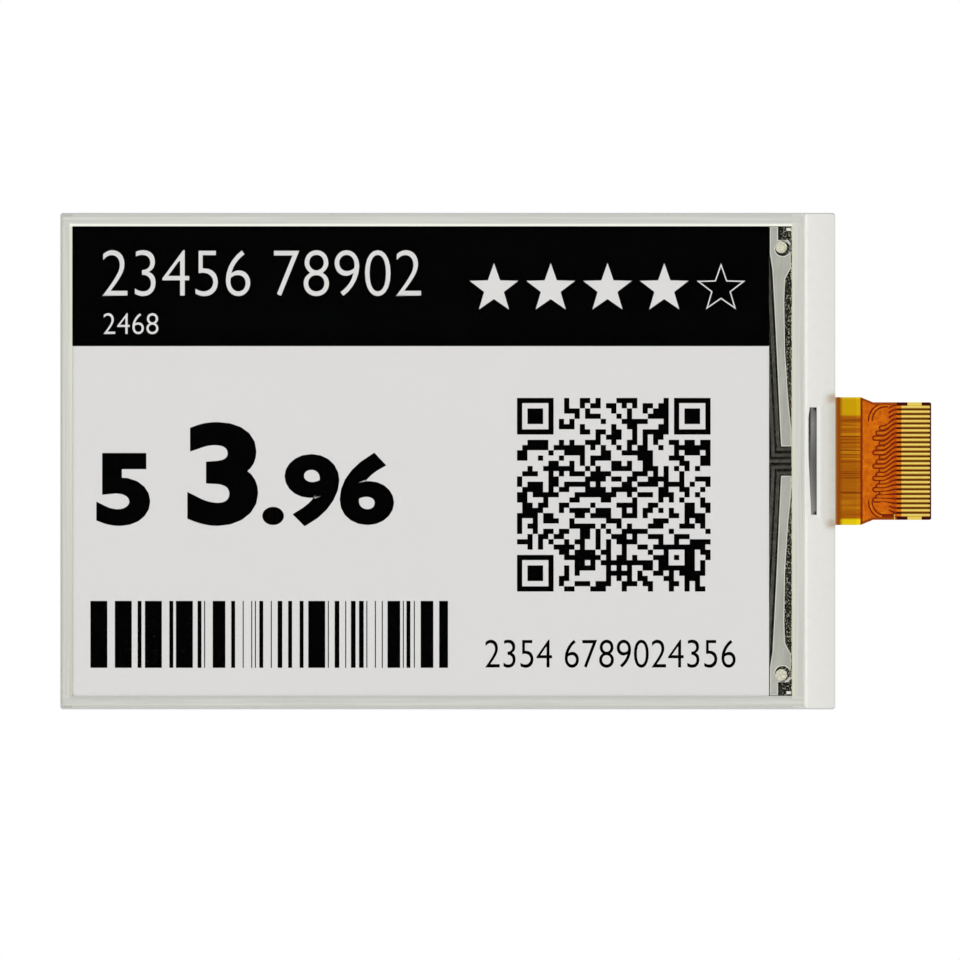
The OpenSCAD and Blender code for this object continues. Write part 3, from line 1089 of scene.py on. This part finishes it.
def trimmed(
    shapes: Sequence[Sequence[Point]], gaps: Sequence[Sequence[Point]] = ()
) -> Mesh:
    """Joins overlapping outlines and cuts others out of them.

    Args:
        shapes: The outlines that are joined.
        gaps: The outlines that are cut away.

    Returns:
        What is left, as a flat mesh in mm.
    """
    points: list[Vector] = []
    loops = []
    for outline in (*shapes, *gaps):
        turns = zip(outline, (*outline[1:], outline[0]))
        area = sum(one[0] * two[1] - two[0] * one[1] for one, two in turns)
        loops.append(list(range(len(points), len(points) + len(outline))))
        points += [Vector(spot) for spot in (outline if area > 0 else reversed(outline))]
    spots, _, faces, _, _, owners = geometry.delaunay_2d_cdt(points, [], loops, 1, 1e-5)
    return flat_faces(
        [tuple(spots[corner]) for corner in face] for face, owner in zip(faces, owners)
        if owner and all(index < len(shapes) for index in owner)
    )


def oblong(left: float, right: float, low: float, high: float) -> list[Point]:
    """The corners of an upright rectangle."""
    return [(left, low), (right, low), (right, high), (left, high)]


def circle(middle: Point, radius: float) -> list[Point]:
    """A circle of sixteen corners."""
    return [(middle[0] + radius * math.cos(math.pi * k / 8),
             middle[1] + radius * math.sin(math.pi * k / 8)) for k in range(16)]


def middles(count: int, pitch: float) -> list[float]:
    """The places of a row of items about 0."""
    return [(index - (count - 1) / 2) * pitch for index in range(count)]


def soft_oblong(
    left: float, right: float, low: float, high: float, radius: float, steps: int = 6
) -> list[Point]:
    """The outline of a rectangle with round corners.

    Args:
        left: Its left side.
        right: Its right side.
        low: Its foot.
        high: Its top.
        radius: The radius of its corners.
        steps: The number of sides in each corner.

    Returns:
        The outline's points.
    """
    turns = ((right - radius, high - radius, 0), (left + radius, high - radius, 1),
             (left + radius, low + radius, 2), (right - radius, low + radius, 3))
    points = []
    for x, z, quarter in turns:
        for step in range(steps + 1):
            angle = math.pi / 2 * (quarter + step / steps)
            points.append((x + radius * math.cos(angle), z + radius * math.sin(angle)))
    return points


@dataclass
class Figures:
    """One line of plain digits, set to fill a rectangle."""

    name: str
    text: str
    left: float
    right: float
    low: float
    high: float
    weight: float
    light: bool = False

    def outline(self) -> Mesh:
        """The digits as flat faces that fill the rectangle.

        Returns:
            The flat mesh in mm.
        """
        curve = bpy.data.curves.new(self.name, "FONT")
        curve.body = self.text
        curve.offset = self.weight
        curve.resolution_u = 5
        curve.fill_mode = "FRONT"
        holder = bpy.data.objects.new(self.name, curve)
        bpy.context.scene.collection.objects.link(holder)
        bpy.context.view_layer.update()
        drawn = holder.evaluated_get(bpy.context.evaluated_depsgraph_get())
        mesh = bpy.data.meshes.new_from_object(drawn)
        bpy.data.objects.remove(holder)
        bpy.data.curves.remove(curve)
        flat = bmesh.new()
        flat.from_mesh(mesh)
        bpy.data.meshes.remove(mesh)
        wide = [vert.co.x for vert in flat.verts]
        tall = [vert.co.y for vert in flat.verts]
        across = (self.right - self.left) / (max(wide) - min(wide))
        up = (self.high - self.low) / (max(tall) - min(tall))
        for vert in flat.verts:
            x, z = vert.co.x, vert.co.y
            vert.co = (self.left + (x - min(wide)) * across, 0, self.low + (z - min(tall)) * up)
        return flat


@dataclass
class ScreenImage:
    """The ink film and the image that its capsules show: plain figures, stars and two patterns."""

    corner: float = 0.12
    band_low: float = 12.23
    star_x: float = 4.92
    star_z: float = 18.34
    star_pitch: float = 6.04
    star_radius: float = 2.72
    star_waist: float = 0.405
    star_line: float = 0.13
    star_tip: float = 20.0
    star_corners: int = 10
    stars_filled: int = 4
    blocks: int = 37
    square: int = 7
    block_left: float = 7.37
    block_top: float = 6.72
    block: float = 0.5568
    block_seed: int = 37
    dark_share: float = 0.52
    bars_left: float = -38.02
    bars_right: float = 0.03
    bars_low: float = -22.0
    bars_high: float = -14.88
    bar_widths: tuple[float, ...] = (0.11, 0.11, 0.42, 0.42, 0.5, 0.5, 1.35, 1.8)
    bar_gaps: tuple[float, ...] = (0.28, 0.36, 0.5, 0.62, 0.8)
    bar_seed: int = 11
    lines: tuple[Figures, ...] = field(default_factory=lambda: (
        Figures("header_figures", "23456 78902", -36.75, -2.84, 17.55, 22.44, -0.012, True),
        Figures("header_small_figures", "2468", -36.64, -30.79, 13.5, 15.74, -0.01, True),
        Figures("leading_figure", "5", -37.39, -31.65, -6.9, 0.86, 0.042),
        Figures("main_figure", "3", -27.71, -20.17, -6.9, 4.15, 0.04),
        Figures("following_figures", ".96", -19.74, -5.71, -6.95, 0.9, 0.04),
        Figures("lower_figures", "2354 6789024356", 3.97, 30.64, -22.0, -19.0, -0.006),
    ))

    def extent(self, low_side: float | None = None) -> Mesh:
        """The ink film's outline, or the part of it over a height.

        Args:
            low_side: The Z of the part's foot, where it isn't the film's own.

        Returns:
            The flat shape.
        """
        low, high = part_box("ink_film")
        foot = low.z / MM if low_side is None else low_side
        return flat_faces([soft_oblong(low.x / MM, high.x / MM, foot, high.z / MM, self.corner)])

    def film(self) -> None:
        """Lays the white capsules in the place of the ink film."""
        layer = plate("white_capsule_layer", self.extent(), Level.CAPSULES.value, Level.IMAGE.value,
                      Kit.WHITE_INK, "ink")
        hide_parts("ink_film")

    def show(self, name: str, flat: Mesh, light: bool = False) -> None:
        """Turns the capsules under a shape black, or white again in the header band.

        Args:
            name: The piece's name.
            flat: The shape, which is used up.
            light: Whether it is white on the band.
        """
        back, front, ink = (
            (Level.IMAGE_TOP, Level.FIGURES_TOP, Kit.WHITE_INK) if light
            else (Level.IMAGE, Level.IMAGE_TOP, Kit.BLACK_INK)
        )
        plate(name, flat, back.value, front.value, ink, "ink")

    def header(self) -> None:
        """Turns the header band black."""
        self.show("header_band", self.extent(self.band_low))

    def figures(self) -> None:
        """Sets each line of digits."""
        for line in self.lines:
            self.show(line.name, line.outline(), line.light)

    def star(self, index: int, inset: float = 0.0) -> list[Point]:
        """The outline of one star.

        Args:
            index: Its number from the left.
            inset: How far its tips are drawn in.

        Returns:
            Its ten corners.
        """
        middle = self.star_x + self.star_pitch * index
        corners = []
        for step in range(self.star_corners):
            reach = self.star_radius - inset
            reach *= self.star_waist if step % 2 else 1.0
            angle = math.pi / 2 + 2 * math.pi / self.star_corners * step
            corners.append(
                (middle + reach * math.cos(angle), self.star_z + reach * math.sin(angle)))
        return corners

    def stars(self) -> None:
        """Sets the filled stars and one outlined star in the header."""
        filled = []
        for index in range(self.stars_filled):
            centre = (self.star_x + self.star_pitch * index, self.star_z)
            points = self.star(index)
            filled += [
                [centre, points[tip - 1], points[tip], points[tip + 1]]
                for tip in range(0, self.star_corners, 2)
            ]
        self.show("filled_stars", flat_faces(filled), True)
        outer = self.star(self.stars_filled)
        inner = self.star(self.stars_filled, self.star_line / math.sin(math.radians(self.star_tip)))
        rim = [[outer[k - 1], outer[k], inner[k], inner[k - 1]] for k in range(len(outer))]
        self.show("outlined_star", flat_faces(rim), True)

    def is_dark(self, row: int, column: int, chance: random.Random) -> bool:
        """Whether one block of the square pattern is dark.

        Args:
            row: Its row from the top.
            column: Its column from the left.
            chance: The draw for the blocks outside the corner squares.

        Returns:
            True for a dark block.
        """
        drawn = chance.random() < self.dark_share
        far, half = self.blocks - self.square, self.square // 2
        for top, left in ((0, 0), (0, far), (far, 0)):
            down, along = row - top, column - left
            if -1 <= down <= self.square and -1 <= along <= self.square:
                ring = max(abs(down - half), abs(along - half))
                return ring == half or ring <= 1
        ring = max(abs(row - far), abs(column - far))
        return ring != 1 if ring <= 2 else drawn

    def pattern(self) -> None:
        """Sets the square pattern of blocks, which share their corners."""
        chance = random.Random(self.block_seed)
        made = bmesh.new()
        spots: dict[tuple[int, int], bmesh.types.BMVert] = {}

        def corner(row: int, column: int) -> bmesh.types.BMVert:
            """The corner of the grid at a row and a column, made on first use.

            Args:
                row: The row from the top.
                column: The column from the left.

            Returns:
                The corner.
            """
            if (row, column) not in spots:
                spots[row, column] = made.verts.new((
                    self.block_left + column * self.block, 0, self.block_top - row * self.block))
            return spots[row, column]

        for row in range(self.blocks):
            for column in range(self.blocks):
                if self.is_dark(row, column, chance):
                    made.faces.new((corner(row + 1, column), corner(row + 1, column + 1),
                                    corner(row, column + 1), corner(row, column)))
        pinch = [
            vert for vert in made.verts
            if len(vert.link_faces) == 2 and not set(vert.link_faces[0].edges)
            & set(vert.link_faces[1].edges)
        ]
        bmesh.ops.split_edges(made, edges=[], verts=pinch, use_verts=True)
        self.show("block_pattern", made)

    def bars(self) -> None:
        """Sets the row of bars, whose widths come from a seeded draw."""
        chance = random.Random(self.bar_seed)
        place = self.bars_left
        strokes = []
        while place < self.bars_right - self.bar_widths[0]:
            wide = min(chance.choice(self.bar_widths), self.bars_right - place)
            strokes.append(oblong(place, place + wide, self.bars_low, self.bars_high))
            place += wide + chance.choice(self.bar_gaps)
        self.show("bar_pattern", flat_faces(strokes))

    def build(self) -> None:
        """Builds the whole image."""
        for step in (self.film, self.header, self.figures, self.stars, self.pattern, self.bars):
            step()


def front_outline(node: str) -> Mesh:
    """The foremost flat faces of a CAD node.

    Args:
        node: The node's name.

    Returns:
        Those faces, flat, in mm.
    """
    low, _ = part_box(node)
    flat = bmesh.new()
    flat.from_mesh(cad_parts[node].data)
    bmesh.ops.remove_doubles(flat, verts=flat.verts, dist=SAME_M)
    off = [face for face in flat.faces
           if abs(face.calc_center_median().y - low.y) > LEVEL_M or abs(face.normal.y) < 0.9]
    bmesh.ops.delete(flat, geom=off, context="FACES")
    for vert in flat.verts:
        vert.co = (vert.co.x / MM, 0, vert.co.z / MM)
    bmesh.ops.remove_doubles(flat, verts=flat.verts, dist=SAME_MM)
    return flat


def sweep(mesh: Mesh, profile: Sequence[Point], stations: Sequence[float]) -> None:
    """Runs a profile along X and closes both ends.

    Args:
        mesh: The mesh that it is added to, in metres.
        profile: Points of Z and height in mm, in order round the section.
        stations: The X of each section in mm.
    """
    rings = [
        [mesh.verts.new((x * MM, -height * MM, z * MM)) for z, height in profile] for x in stations
    ]
    sides = []
    for one, two in zip(rings, rings[1:]):
        for k in range(len(profile)):
            sides.append(mesh.faces.new((one[k - 1], one[k], two[k], two[k - 1])))
    ends = [mesh.faces.new(rings[0]), mesh.faces.new(list(reversed(rings[-1])))]
    bmesh.ops.recalc_face_normals(mesh, faces=sides + ends)


@dataclass
class ClearStack:
    """The clear layers, each a hair apart so that light crosses one surface at a time."""

    gap: float = 0.004

    def skin(self, node: str, back: Level, finish: Kit, slot: str, body: str = "panel") -> None:
        """Puts a clear layer with the node's front outline in the node's place.

        Args:
            node: The CAD node that it stands for.
            back: The height of its back.
            finish: What it is made of.
            slot: The record's material slot.
            body: The body that it rides on.
        """
        front = -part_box(node)[0].y / MM
        made = plate(node + "_skin", front_outline(node), back.value + self.gap,
                     front - (self.gap if body == "panel" else 0), finish, slot, body)
        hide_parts(node)

    def build(self) -> None:
        """Lays the electrode film, the adhesive over it and the tail's front cover."""
        self.skin("electrode_film", Level.ELECTRODE, Kit.INNER_FILM, "clear_film")
        self.skin("optical_adhesive", Level.ADHESIVE, Kit.ADHESIVE, "clear_adhesive")
        self.skin("flex_tail_front_cover", Level.TAIL_FRONT, Kit.FRONT_COVER, "cover_film",
                  "flex_tail")


@dataclass
class BusEdgeHighlight:
    """A brighter band round each bus and its slots, a painted edge highlight."""

    width: float = 0.1
    reach: float = 0.15
    rise: float = 0.004
    nodes: tuple[str, ...] = ("common_bus_upper", "common_bus_lower")

    def rim(self, node: str) -> None:
        """Lays a narrow band of painted edge highlight inside the outline of one bus.

        Args:
            node: The CAD node of the bus.
        """
        flat = front_outline(node)
        corners = set(flat.verts)
        result = bmesh.ops.inset_region(
            flat, faces=flat.faces, use_boundary=True, use_even_offset=True, thickness=self.width)
        for vert in (vert for vert in flat.verts if vert not in corners):
            for corner in (edge.other_vert(vert) for edge in vert.link_edges):
                if corner in corners:
                    way = vert.co - corner.co
                    vert.co = corner.co + way * min(1.0, self.reach / way.length)
        band = set(result["faces"])
        inner = [face for face in flat.faces if face not in band]
        bmesh.ops.delete(flat, geom=inner, context="FACES")
        front = -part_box(node)[0].y / MM
        # The band's colour is a painted edge highlight.
        plate(node + "_rim", flat, front, front + self.rise, Kit.BUS_EDGE_HIGHLIGHT, "bus_metal")

    def build(self) -> None:
        """Lays the band on both buses."""
        for node in self.nodes:
            self.rim(node)


@dataclass
class Contacts:
    """Crowned gold over each contact of the tail."""

    count: int = 24
    pitch: float = 0.5
    width: float = 0.28
    crown: float = 0.012
    left: float = 48.28
    right: float = 51.27
    ease: float = 0.05
    base: float = Level.TAIL_FRONT.value
    steps: int = 8

    def build(self) -> None:
        """Builds the crowned plating of all contacts as one piece."""
        made = bmesh.new()
        turns = [math.pi * step / self.steps for step in range(self.steps + 1)]
        stations = [self.left, self.left + self.ease, self.right - self.ease, self.right]
        for middle in middles(self.count, self.pitch):
            sweep(made, [(middle + self.width / 2 * math.cos(turn),
                          self.base + self.crown * math.sin(turn)) for turn in turns], stations)
        plating = piece("contact_plating", made, Kit.GOLD)
        for face in plating.data.polygons:
            face.use_smooth = abs(face.normal.x) < 0.5 and face.normal.y < 0
        attach(plating, "flex_tail")


@dataclass
class TailCopper:
    """The tail's front copper: a conductor from each plated hole to its contact, and the areas."""

    count: int = 24
    pitch: float = 0.5
    closing: float = 0.9
    drift: float = 1.7
    hole_left: float = 45.458
    hole_step: float = 0.336
    columns: int = 3
    land: float = 0.14
    dimple: float = 0.055
    run_start: float = 46.27
    run_end: float = 47.76
    run_steps: int = 14
    end: float = 48.26
    width: float = 0.27
    space: float = 0.17
    joined: tuple[int, ...] = (1, 2, 21, 22, 23)
    joined_end: float = 46.87
    stub: tuple[float, float] = (47.46, 47.61)
    stub_top: float = -5.63
    stub_height: float = 0.24
    stub_gold: tuple[float, float] = (47.47, 47.6)
    stub_gold_top: float = -5.66
    half: float = 6.25
    area: tuple[Point, ...] = ((44.14, 6.46), (45.26, 5.98), (47.64, 5.98), (47.64, -5.98),
                               (45.26, -5.98), (44.14, -6.46))
    stub_gaps: tuple[tuple[float, float, float, float], ...] = (
        (46.2, 47.36, -6.3, -5.62), (47.3, 47.7, -6.3, -5.5))
    arc_middle: Point = (46.6, 4.35)
    arc_radii: tuple[float, float] = (1.43, 1.83)
    arc_degrees: tuple[int, int, int] = (80, 192, 8)
    back: float = Level.TAIL_COPPER.value
    front: float = Level.TAIL_FRONT.value
    rise: float = 0.003
    sink: float = 0.002

    def hole(self, index: int) -> Point:
        """The middle of one conductor's plated hole.

        Args:
            index: The conductor's number from below.

        Returns:
            Its X and Z.
        """
        sag = self.drift * math.sin(math.pi * index / (self.count - 1))
        return (self.hole_left + index % self.columns * self.hole_step,
                self.closing * self.pitch * (middles(self.count, 1.0)[index] - sag))

    def ribbon(self, index: int, width: float, start: float = 0.0) -> list[Point]:
        """The outline of one conductor: level, a smooth step and level again.

        Args:
            index: Its number from below.
            width: Its width.
            start: Where it starts at the left, if that is right of its hole.

        Returns:
            The outline's points.
        """
        (x, low), high = self.hole(index), middles(self.count, self.pitch)[index]
        line = [(x, low)]
        for step in range(self.run_steps + 1):
            share = step / self.run_steps
            line.append((self.run_start + (self.run_end - self.run_start) * share,
                         low + (high - low) * (1 - math.cos(math.pi * share)) / 2))
        line = [point for point in line if point[0] >= start] + [(self.end, high)]
        half = width / 2
        return [(x, z - half) for x, z in line] + [(x, z + half) for x, z in reversed(line)]

    def arc(self, side: int, radius: float) -> list[Point]:
        """A gap that rounds one corner of the copper area.

        Args:
            side: 1 for the upper corner, -1 for the lower one.
            radius: The gap's radius.

        Returns:
            Its outline.
        """
        x, z = self.arc_middle
        turns = [math.radians(degrees) for degrees in range(*self.arc_degrees)]
        inner, outer = (
            [(x + reach * math.cos(turn), side * (z + reach * math.sin(turn))) for turn in turns]
            for reach in (radius - self.space / 2, radius + self.space / 2)
        )
        return inner + list(reversed(outer))

    def build(self) -> None:
        """Builds the conductors, the areas, the dimples on the holes and the stub's gold."""
        shapes = [oblong(self.stub[0], self.end, self.stub_top - self.stub_height, self.stub_top),
                  oblong(*self.stub, -self.half, self.stub_top)]
        gaps = [oblong(*sides) for sides in self.stub_gaps]
        dimples = []
        for index in range(1, self.count):
            hole = self.hole(index)
            shapes += [self.ribbon(index, self.width), circle(hole, self.land)]
            dimples.append(circle(hole, self.dimple))
            joined = index in self.joined
            gaps.append(self.ribbon(index, self.width + 2 * self.space,
                                    self.joined_end if joined else 0.0))
            if not joined:
                gaps.append(circle(hole, self.land + self.space))
        gaps += [self.arc(side, radius) for side in (1, -1) for radius in self.arc_radii]
        gold = oblong(*self.stub_gold, -self.half, self.stub_gold_top)
        front, raised = self.front, self.front + self.rise
        layers = (
            ("front_copper_tracks", trimmed(shapes), self.back, front, Kit.COPPER, "copper"),
            ("front_copper_areas", trimmed([self.area], gaps), self.back, front - self.sink,
             Kit.COPPER, "copper"),
            ("hole_dimples", flat_faces(dimples), front, raised, Kit.HOLE, "copper"),
            ("stub_plating", flat_faces([gold]), front, raised, Kit.GOLD, "gold"),
        )
        tracks, *_ = [plate(*layer, body="flex_tail") for layer in layers]
        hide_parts("flex_tail_front_conductors")


@dataclass
class Glue:
    """Small beads: the seal's ragged edge over the strip, the ledge's seam, whose pale bead also
    covers the seam's shadow with painted light, and the slot's lip.
    """

    edge: float = 36.65
    half: float = 24.97
    margin: float = 0.03
    fringe_heights: tuple[float, float] = (0.545, 0.575)
    scallop: tuple[float, float] = (0.16, 0.4)
    depth: tuple[float, float] = (0.02, 0.12)
    least: float = 0.01
    shares: tuple[float, ...] = (0.15, 0.35, 0.65, 0.85)
    last: float = 0.5
    seed: int = 5
    seam: tuple[float, float, float, float] = (37.925, 37.968, -26.1, 26.1)
    seam_heights: tuple[float, float] = (0.74, 0.928)
    lip_left: float = 38.2
    lip_upper: tuple[Point, ...] = ((38.53, 6.0), (38.42, 5.2), (38.31, 4.5))
    lip_lower: tuple[Point, ...] = ((38.31, 2.2), (38.36, 0.4), (38.45, -1.5), (38.52, -3.1),
                                    (38.6, -4.7), (38.65, -6.0))
    lip_heights: tuple[float, float] = (0.912, 0.924)

    def fringe(self) -> list[Point]:
        """The seal's edge over the strip, in small scallops.

        Returns:
            Its outline.
        """
        chance = random.Random(self.seed)
        outline = [(self.edge, self.half), (self.edge - self.margin, self.half)]
        z = self.half
        while z > -self.half + self.last:
            tall, deep = chance.uniform(*self.scallop), chance.uniform(*self.depth)
            for share in self.shares:
                reach = self.least + deep * math.sin(math.pi * share)
                outline.append((self.edge - reach, z - tall * share))
            z -= tall
        return outline + [(self.edge - self.margin, -self.half), (self.edge, -self.half)]

    def lips(self) -> list[list[Point]]:
        """The two slivers of cover film that hang over the slot's left side."""
        return [[(self.lip_left, line[0][1]), (self.lip_left, line[-1][1]), *reversed(line)]
                for line in (self.lip_upper, self.lip_lower)]

    def build(self) -> None:
        """Lays all three."""
        beads = (
            ("glue_fringe", [self.fringe()], self.fringe_heights, Kit.GLUE, "seal"),
            # A pale glue bead over the seam, also painted light over the seam's shadow.
            ("ledge_seam_glue_and_light", [oblong(*self.seam)], self.seam_heights, Kit.GLUE, "seal"),
            ("slot_lip", self.lips(), self.lip_heights, Kit.LEDGE, "ledge_cover"),
        )
        for name, shapes, heights, finish, slot in beads:
            plate(name, trimmed(shapes), *heights, finish, slot)


@dataclass
class Hinge:
    """A place where the flex turns, the stretch of strip there and where it starts and ends."""

    name: str
    inner: str
    outer: str
    start: float
    end: float
    turn_start: float
    turn_end: float


@dataclass
class FoldingStrip:
    """The bend of the flex as three smooth stretches of film, conductors and cover."""

    half: float = 6.8
    back: float = 0.51
    middle: float = 0.54
    seam: float = 0.56
    front: float = 0.61
    count: int = 24
    pitch: float = 0.38
    width: float = 0.22
    gap: float = 0.003
    steps: int = 14
    hinges: tuple[Hinge, ...] = (
        Hinge("root", "panel", "flex_inner", 41.65, 42.11, 41.66, 42.11),
        Hinge("middle", "flex_inner", "flex_outer", 42.11, 43.01, 42.11, 43.01),
        Hinge("end", "flex_outer", "flex_tail", 43.01, 43.47, 43.01, 43.46),
    )

    def cover_profile(self) -> list[Point]:
        """The section of the back cover, which fits round the conductors.

        Returns:
            Its points, in order.
        """
        side = self.width / 2
        points = [(-self.half, self.back), (self.half, self.back), (self.half, self.seam)]
        for z in reversed(middles(self.count, self.pitch)):
            points += [(z + side, self.seam), (z + side, self.middle),
                       (z - side, self.middle), (z - side, self.seam)]
        return points + [(-self.half, self.seam)]

    def stretch(
        self,
        name: str,
        hinge: Hinge,
        profiles: Iterable[Sequence[Point]],
        finish: Kit,
        slot: str,
    ) -> bpy.types.Object:
        """Builds one layer of one stretch over its hinge's span.

        Args:
            name: The piece's name.
            hinge: The hinge that it crosses.
            profiles: The sections that run along it.
            finish: What it is made of.
            slot: Not used.

        Returns:
            The piece.
        """
        made = bmesh.new()
        stations = [hinge.start + (hinge.end - hinge.start) * k / self.steps
                    for k in range(self.steps + 1)]
        for profile in profiles:
            sweep(made, profile, stations)
        strip = piece(name, made, finish)
        rest = strip.data.attributes.new(REST, "FLOAT_VECTOR", "POINT")
        rest.data.foreach_set("vector", [part for vert in strip.data.vertices for part in vert.co])
        height = -(self.seam * MM)
        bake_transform(strip)
        return strip

    def build(self) -> None:
        """Builds the three layers of each stretch and hides the straight ones."""
        back = self.seam + self.gap
        film = oblong(-self.half, self.half, back, self.front)
        side = self.width / 2
        bars = [oblong(z - side, z + side, self.middle, self.seam)
                for z in middles(self.count, self.pitch)]
        for hinge in self.hinges:
            layers = (
                ("film", [film], Kit.BEND_FILM, "polyimide"),
                ("conductors", bars, Kit.BEND_COPPER, "copper"),
                ("back_cover", [self.cover_profile()], Kit.BEND_COVER, "cover_film"),
            )
            for layer, profiles, finish, slot in layers:
                strip = self.stretch(f"bend_{hinge.name}_{layer}", hinge, profiles, finish, slot)
                if hinge.name == "middle":
                    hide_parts(f"flex_bend_inner_{layer}", f"flex_bend_outer_{layer}")


@dataclass
class Lamp:
    """One soft area light."""

    name: str
    place: tuple[float, float, float]
    size: float
    power: float


@dataclass
class Studio:
    """The camera, the lights, the pale surroundings and the floor."""

    lens: float = 135.0
    eye: tuple[float, float, float] = (0.003434, -0.383635, -0.002014)
    target: tuple[float, float, float] = (0.004, 0.0, 0.0)
    diffuse_level: float = 0.74
    mirror_level: float = 0.06
    clip: tuple[float, float] = (0.01, 20.0)
    floor_z: float = -0.15
    floor_sides: tuple[float, float, float, float] = (-300.0, 300.0, -225.0, 225.0)
    floor_corner: float = 40.0
    lamps: tuple[Lamp, ...] = (
        Lamp("key_left", (-0.62, -0.5, 0.45), 0.5, 1.5),
        Lamp("fill_right", (0.68, -0.42, 0.2), 0.45, 0.9),
        Lamp("top", (0.05, -0.42, 0.8), 0.5, 1.4),
        Lamp("rear_left", (-0.5, 0.7, 0.5), 0.5, 1.6),
        Lamp("rear_right", (0.55, 0.7, 0.2), 0.5, 1.2),
    )

    def camera(self) -> None:
        """Stands the camera square on to the panel."""
        data = bpy.data.cameras.new("camera")
        data.lens = self.lens
        data.clip_start, data.clip_end = self.clip
        made = bpy.data.objects.new("camera", data)
        made.location = self.eye
        made.rotation_euler = (math.pi / 2, 0, 0)
        bpy.context.scene.collection.objects.link(made)
        bpy.context.scene.camera = made

    def surroundings(self) -> None:
        """White behind the object, soft light all round it and little for gloss to mirror."""
        scene = bpy.context.scene
        scene.view_settings.view_transform = "Standard"
        scene.cycles.transparent_max_bounces = 24
        world = bpy.data.worlds.new("studio")
        world.use_nodes = True
        scene.world = world
        graph = Graph(world.node_tree)
        soft = graph.node("ShaderNodeLightPath", out="Is Diffuse Ray")
        seen = graph.node("ShaderNodeLightPath", out="Is Camera Ray")
        around = soft * (self.diffuse_level - self.mirror_level) + self.mirror_level
        level = graph.node("ShaderNodeMix", {}, {0: seen, 2: around, 3: 1.0})
        white = graph.node(
            "ShaderNodeBackground", {}, {"Color": (1.0, 1.0, 1.0, 1.0), "Strength": level})
        graph.node("ShaderNodeOutputWorld", {}, {"Surface": white})

    def light(self) -> None:
        """Hangs the lamps, each turned to the panel."""
        for lamp in self.lamps:
            data = bpy.data.lights.new(lamp.name, "AREA")
            data.shape, data.size, data.energy = "DISK", lamp.size, lamp.power
            made = bpy.data.objects.new(lamp.name, data)
            made.location = lamp.place
            aim = Vector(self.target) - Vector(lamp.place)
            made.rotation_euler = aim.to_track_quat("-Z", "Y").to_euler()
            bpy.context.scene.collection.objects.link(made)

    def floor(self) -> None:
        """Lays a pale floor well below the panel."""
        outline = soft_oblong(*self.floor_sides, self.floor_corner)
        mesh = bmesh.new()
        mesh.faces.new([mesh.verts.new((x * MM, y * MM, self.floor_z)) for x, y in outline])
        piece("studio_floor", mesh, Kit.FLOOR)

    def build(self) -> None:
        """Sets up the whole studio."""
        for step in (self.camera, self.surroundings, self.light, self.floor):
            step()


def dress_nodes() -> None:
    """Gives every CAD node that stays in view its finish."""
    for node, kit in NODE_FINISH.items():
        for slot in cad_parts[node].material_slots:
            slot.material = kit.value.material()
        log.info("%s: %s", node, kit.name.lower())


def main() -> None:
    """Builds the studio and the object."""
    logging.basicConfig(level=logging.INFO, format="%(name)s %(message)s")
    Studio().build()
    dress_nodes()
    builders: tuple[Callable[[], None], ...] = (
        ScreenImage().build, ClearStack().build, BusEdgeHighlight().build, Glue().build,
        FoldingStrip().build, TailCopper().build, Contacts().build,
    )
    for build in builders:
        build()


if __name__ == "__main__":
    main()
